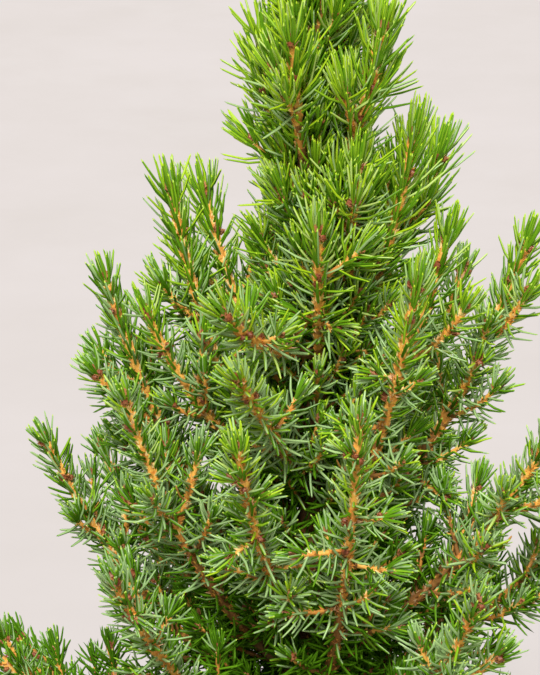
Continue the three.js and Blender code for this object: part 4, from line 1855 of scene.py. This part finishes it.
@dataclass
class Pot:
    """The plain clay pot: a tapering body, a thick band at the rim and three drain holes."""

    height: float = 138.0
    rim_radius: float = 74.0
    mouth_radius: float = 66.5
    band_height: float = 30.0
    band_radius: float = 72.5
    body_radius: float = 68.0
    foot_radius: float = 49.0
    wall: float = 6.5
    floor: float = 9.0
    drain_radius: float = 5.0
    drain_circle: float = 24.0
    drains: int = 3
    sides: int = 96
    edge: float = 2.2
    band_edge: float = 1.6
    under_edge: float = 1.0
    inner_edge: float = 3.0
    edge_steps: int = 4
    ring_gap: float = 6.0
    turning: float = 0.12  # mm, the faint rings left by the mould
    turning_step: float = 1.05  # radians a mm
    plain_foot: float = 4.0  # mm up without them
    bumps: tuple[Bumps, ...] = (Bumps(0.22, 26, 31), Bumps(0.07, 2.6, 32))
    drill_stops: tuple[float, ...] = (-4.0, 0.0, 8.0, 14.0)
    drill_sides: int = 32

    def inside(self, z: float) -> float:
        """Gives the pot's inner radius at a height under its band."""
        under = self.height - self.band_height
        return lerp(self.foot_radius, self.body_radius, z / under) - self.wall

    def outline(self) -> Array:
        """Gives the half outline from the axis, out under the foot, up and back down inside.

        Returns:
            Radius and height of each point, with its corners rounded.
        """
        under = self.height - self.band_height
        corners = [
            (0.0, 0.0, 0.0),
            (self.foot_radius, 0.0, self.edge),
            (self.body_radius, under, self.under_edge),
            (self.band_radius, under, self.band_edge),
            (self.rim_radius, self.height, self.edge),
            (self.mouth_radius, self.height, self.edge),
            (self.inside(under), under, self.inner_edge),
            (self.inside(self.floor), self.floor, self.inner_edge),
            (0.0, self.floor, 0.0),
        ]
        line: list[Array] = []
        for i, (r, z, cut) in enumerate(corners):
            here = np.array([r, z])
            if not cut:
                line.append(here)
                continue
            before = unit(np.array(corners[i - 1][:2]) - here) * cut
            after = unit(np.array(corners[i + 1][:2]) - here) * cut
            for share in np.linspace(0, 1, self.edge_steps):
                line.append(here + before * (1 - share) ** 2 + after * share**2)
        filled = [line[0]]
        for point in line[1:]:
            start = filled[-1]
            parts = int(np.linalg.norm(point - start) / self.ring_gap) + 1
            filled += [lerp(start, point, step / parts) for step in range(1, parts)]
            filled.append(point)
        return np.array(filled)

    def build(self) -> None:
        """Makes the pot, with faint moulding rings and rounded lips."""
        pile = MeshPile("pot_shell", [CLAY], "clay")
        lathe(pile, self.outline(), self.sides, self.wobble)
        self.drill(pile.build(["pot"]))

    def wobble(self, points: Array) -> Array:
        """Gives how far the clay stands off its true round shape.

        Args:
            points: places in mm, one a row.

        Returns:
            The distance at each point.
        """
        height = points[:, 2]
        rings = self.turning * np.sin(height * self.turning_step) * (height > self.plain_foot)
        return rings + rough(points, self.bumps)

    def drill(self, thing: bpy.types.Object) -> None:
        """Cuts the drain holes.

        Args:
            thing: the pot.
        """
        pile = MeshPile("drain_plugs", [CLAY], "clay")
        for i in range(self.drains):
            angle = 2 * np.pi * (i + 0.5) / self.drains
            x, y = self.drain_circle * np.cos(angle), self.drain_circle * np.sin(angle)
            line = np.array([[x, y, z] for z in self.drill_stops])
            pile.tube(line, np.full((len(line), self.drill_sides), self.drain_radius), 0)
        plugs = pile.make()
        cut = thing.modifiers.new("drains", "BOOLEAN")
        cut.operation = "DIFFERENCE"
        cut.solver = "EXACT"
        cut.object = plugs
        graph = bpy.context.evaluated_depsgraph_get()
        mesh = bpy.data.meshes.new_from_object(thing.evaluated_get(graph))
        thing.modifiers.clear()
        thing.data = mesh
        bpy.data.objects.remove(plugs)


def lathe(pile: MeshPile, outline: Array, sides: int, wobble: Callable[[Array], Array]) -> None:
    """Turns a half outline about +Z.

    Args:
        pile: the mesh that takes it.
        outline: radius and height of each point, from the axis round to the axis.
        sides: how many steps the turn has.
        wobble: gives how far each point stands off.
    """
    inner = outline[1:-1]
    points = np.empty((len(inner), sides, 3))
    points[..., :2] = circle(sides) * inner[:, None, :1]
    points[..., 2] = inner[:, None, 1]
    flat = points.reshape(-1, 3)
    off = wobble(flat)
    out = flat[:, :2] / np.maximum(np.linalg.norm(flat[:, :2], axis=1, keepdims=True), TINY)
    flat[:, :2] += out * off[:, None]
    poles = np.array([[0, 0, outline[0, 1]], [0, 0, outline[-1, 1]]])
    first = pile.count
    pile.add(np.concatenate([flat, poles]), ring_quads(len(inner), sides), 0)
    k = np.arange(sides)
    after = (k + 1) % sides
    low, high = len(flat), len(flat) + 1
    end = (len(inner) - 1) * sides
    foot = np.stack([np.full(sides, low), after, k], -1)
    head = np.stack([end + k, end + after, np.full(sides, high)], -1)
    pile.join(foot, 0, True, first)
    pile.join(head, 0, True, first)


@dataclass
class GrowingMix:
    """The growing mix: lumpy damp peat under bark chips, crumbs and a few grains of perlite."""

    pot: Pot
    below_rim: float = 13.0
    dome: float = 3.0
    plateau: float = 22.0
    seat: float = 0.3
    sides: int = 96
    ring_gap: float = 2.0
    wall_gap: float = 1.0  # between the mix and the pot's inside, under the surface
    edge_gap: float = 0.4
    edge_drop: float = 1.0
    lumps: tuple[Bumps, ...] = (Bumps(1.1, 7, 41), Bumps(0.8, 2.8, 42), Bumps(0.5, 1.5, 43))
    sunk: float = 0.9  # mm that the lumps lie lower on the whole
    litter_gap: float = 2.5  # from the edge
    bury: Span = (-1.0, 0.3)
    level: float = 0.35  # how far bits stand up on end
    first_share: float = 0.6  # of a kind's bits that have its first finish
    chipped: Span = (0.55, 1.0)
    CAPS: ClassVar[list] = [[0, 0, 1.25], [0.2, 0.1, -1.2], [1.3, 0, 0], [-1.25, 0, 0.1]]
    SIDES: ClassVar[list] = [
        [1, 8, 5], [5, 8, 7], [7, 8, 3], [3, 8, 1],
        [4, 9, 0], [6, 9, 4], [2, 9, 6], [0, 9, 2],
        [4, 10, 6], [6, 10, 7], [7, 10, 5], [5, 10, 4],
        [2, 11, 0], [0, 11, 1], [1, 11, 3], [3, 11, 2],
        [0, 4, 5], [0, 5, 1], [2, 3, 7], [2, 7, 6],
    ]  # fmt: skip
    BITS: ClassVar[tuple] = (  # how many; half their length, width and thickness; finishes
        (360, (1.1, 3.2), (0.8, 1.9), (0.35, 0.8), (1, 2)),
        (500, (0.5, 1.3), (0.5, 1.2), (0.4, 1.0), (0, 1)),
        (80, (0.6, 1.3), (0.6, 1.2), (0.5, 1.0), (3,)),
    )

    def surface(self, radius: Array) -> Array:
        """Gives the height of the mix before its lumps.

        Args:
            radius: distances from its middle.

        Returns:
            The height at each.
        """
        edge = self.pot.height - self.below_rim
        fall = rise_between(radius, self.plateau, self.mouth() - self.plateau)
        return edge + self.dome * (1 - fall)

    def mouth(self) -> float:
        """Gives the mix's radius at its edge.

        Returns:
            The radius, a little inside the pot's.
        """
        under = self.pot.height - self.pot.band_height
        rise = self.pot.height - self.below_rim - under
        share = rise / (self.pot.band_height - self.pot.edge)
        return lerp(self.pot.inside(under), self.pot.mouth_radius, share) - self.seat

    def build(self) -> None:
        """Makes the mix and what lies on it."""
        pile = MeshPile("growing_mix_crumbs", [PEAT, CHIP, CHIP_PALE, PERLITE], "mix")
        pot, mouth = self.pot, self.mouth()
        under = pot.height - pot.band_height
        low = pot.floor + self.seat
        radii = np.arange(mouth - 2 * self.edge_gap, 2 * self.edge_gap, -self.ring_gap)
        top = np.stack([radii, self.surface(radii)], -1)
        walls = [(0, low)]
        walls += [(pot.inside(z) - self.wall_gap, max(z, low)) for z in (pot.floor, under)]
        walls.append((mouth - self.edge_gap, top[0, 1] - self.edge_drop))
        outline = np.concatenate([walls, top, [(0.0, top[-1, 1])]])
        lathe(pile, outline, self.sides, lambda points: np.zeros(len(points)))
        skin = pile.points[0]
        lifted = skin[:, 2] > top[0, 1] - self.edge_drop / 2
        skin[:, 2] += np.where(lifted, rough(skin, self.lumps) - self.sunk, 0.0)
        self.litter(pile)
        pile.build(["growing_mix"])

    def litter(self, pile: MeshPile) -> None:
        """Strews chips, crumbs and perlite over the top.

        Args:
            pile: the mix's mesh.
        """
        rng = np.random.default_rng(int(Draw.LITTER))
        for count, long, wide, thick, slots in self.BITS:
            radius = (self.mouth() - self.litter_gap) * np.sqrt(rng.random(count))
            angle = 2 * np.pi * rng.random(count)
            height = self.surface(radius) + rng.uniform(*self.bury, count)
            places = np.stack([radius * np.cos(angle), radius * np.sin(angle), height], -1)
            ways = unit(rng.normal(size=(count, 3)) * (1, 1, self.level))
            side = side_of(ways)
            over = np.cross(ways, side)
            sizes = [rng.uniform(*span, (count, 1)) for span in (long, wide, thick)]
            frames = np.stack([ways * sizes[0], side * sizes[1], over * sizes[2]], 1)
            for slot in slots:
                chosen = rng.random(count) < (1.0 if slot == slots[-1] else self.first_share)
                pile.scatter(self.lump(slot), places[chosen], frames[chosen])
                places, frames = places[~chosen], frames[~chosen]
                count = len(places)

    def lump(self, slot: int) -> Template:
        """Makes a broken bit of unit size.

        Args:
            slot: the finish that it has.

        Returns:
            A rough block with chipped corners.
        """
        rng = np.random.default_rng([slot, int(Draw.LUMP)])
        points = np.array(list(itertools.product((-1, 1), repeat=3)), float)
        points *= rng.uniform(*self.chipped, points.shape)
        points = np.concatenate([points, self.CAPS])
        return Template(points, [np.array(self.SIDES)[:, ::-1]], [slot])


@dataclass
class Studio:
    """Pale floor, soft light, and the camera where the photograph was taken from."""

    aim: Three = (-12.2, 0.0, 300.0)
    elevation: float = 20.0
    distance: float = 620.0
    lens: float = 122.35
    sensor: float = 36.0
    floor_radius: float = 14000.0
    floor_sides: int = 96
    floor_rings: tuple[float, ...] = (0.05, 0.25, 1.0)  # of its radius
    sky: str = "#f4f1ee"
    sky_strength: float = 0.46
    sun_strength: float = 3.85
    sun_angle: float = 17.0  # how wide both lights are, in degrees
    sun_bearing: float = 262.0  # where it stands, degrees anticlockwise from +X
    sun_height: float = 51.0
    rim_strength: float = 1.7
    rim_bearing: float = 60.0
    rim_height: float = 54.0
    clip: Span = (0.01, 100.0)  # metres that the camera sees between

    def build(self) -> None:
        """Sets the camera, the lights and the floor."""
        self.set_camera()
        self.set_sun("key_light", self.sun_strength, self.sun_bearing, self.sun_height)
        self.set_sun("rim_light", self.rim_strength, self.rim_bearing, self.rim_height)
        world = bpy.data.worlds.new("studio")
        world.use_nodes = True
        sky = world.node_tree.nodes["Background"]
        sky.inputs["Color"].default_value = linear(self.sky)
        sky.inputs["Strength"].default_value = self.sky_strength
        bpy.context.scene.world = world
        bpy.context.scene.view_settings.view_transform = "Standard"
        self.lay_floor()

    def set_camera(self) -> None:
        """Places the camera at the photograph's viewing angle."""
        tilt = math.radians(self.elevation)
        away = np.array([0.0, -math.cos(tilt), math.sin(tilt)]) * self.distance
        camera = bpy.data.cameras.new("camera")
        camera.sensor_fit = "VERTICAL"
        camera.sensor_height = self.sensor
        camera.lens = self.lens
        camera.clip_start, camera.clip_end = self.clip
        thing = bpy.data.objects.new("camera", camera)
        thing.location = (np.array(self.aim) + away) * MM
        thing.rotation_euler = (math.pi / 2 - tilt, 0.0, 0.0)
        bpy.context.scene.collection.objects.link(thing)
        bpy.context.scene.camera = thing

    def set_sun(self, name: str, strength: float, bearing: float, height: float) -> None:
        """Adds a broad, even light.

        Args:
            name: what it is called.
            strength: its power.
            bearing: the side that it stands on.
            height: degrees above the floor.
        """
        light = bpy.data.lights.new(name, "SUN")
        light.energy = strength
        light.angle = math.radians(self.sun_angle)
        thing = bpy.data.objects.new(name, light)
        turn = math.radians(bearing + 90)
        thing.rotation_euler = (math.radians(90 - height), 0.0, turn)
        bpy.context.scene.collection.objects.link(thing)

    def lay_floor(self) -> None:
        """Lays a wide round floor under the pot."""
        sides, rings = self.floor_sides, self.floor_rings
        points = [(0.0, 0.0, 0.0)]
        for share in rings:
            points += [(x, y, 0.0) for x, y in circle(sides) * self.floor_radius * share * MM]
        faces = [(0, 1 + k, 1 + (k + 1) % sides) for k in range(sides)]
        faces += (1 + ring_quads(len(rings), sides)[:, ::-1]).tolist()
        mesh = bpy.data.meshes.new("floor")
        mesh.from_pydata(points, [], faces)
        mesh.materials.append(PAPER.material())
        floor = bpy.data.objects.new("floor", mesh)
        bpy.context.scene.collection.objects.link(floor)


def main() -> None:
    """Builds the studio, the pot, the mix and the tree."""
    logging.basicConfig(level=logging.INFO, format="%(name)s: %(message)s")
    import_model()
    Studio().build()
    pot = Pot()
    pot.build()
    GrowingMix(pot).build()
    trunk = Trunk()
    Crown(trunk, Growth(trunk)).build()
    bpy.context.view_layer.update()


if __name__ == "__main__":
    main()
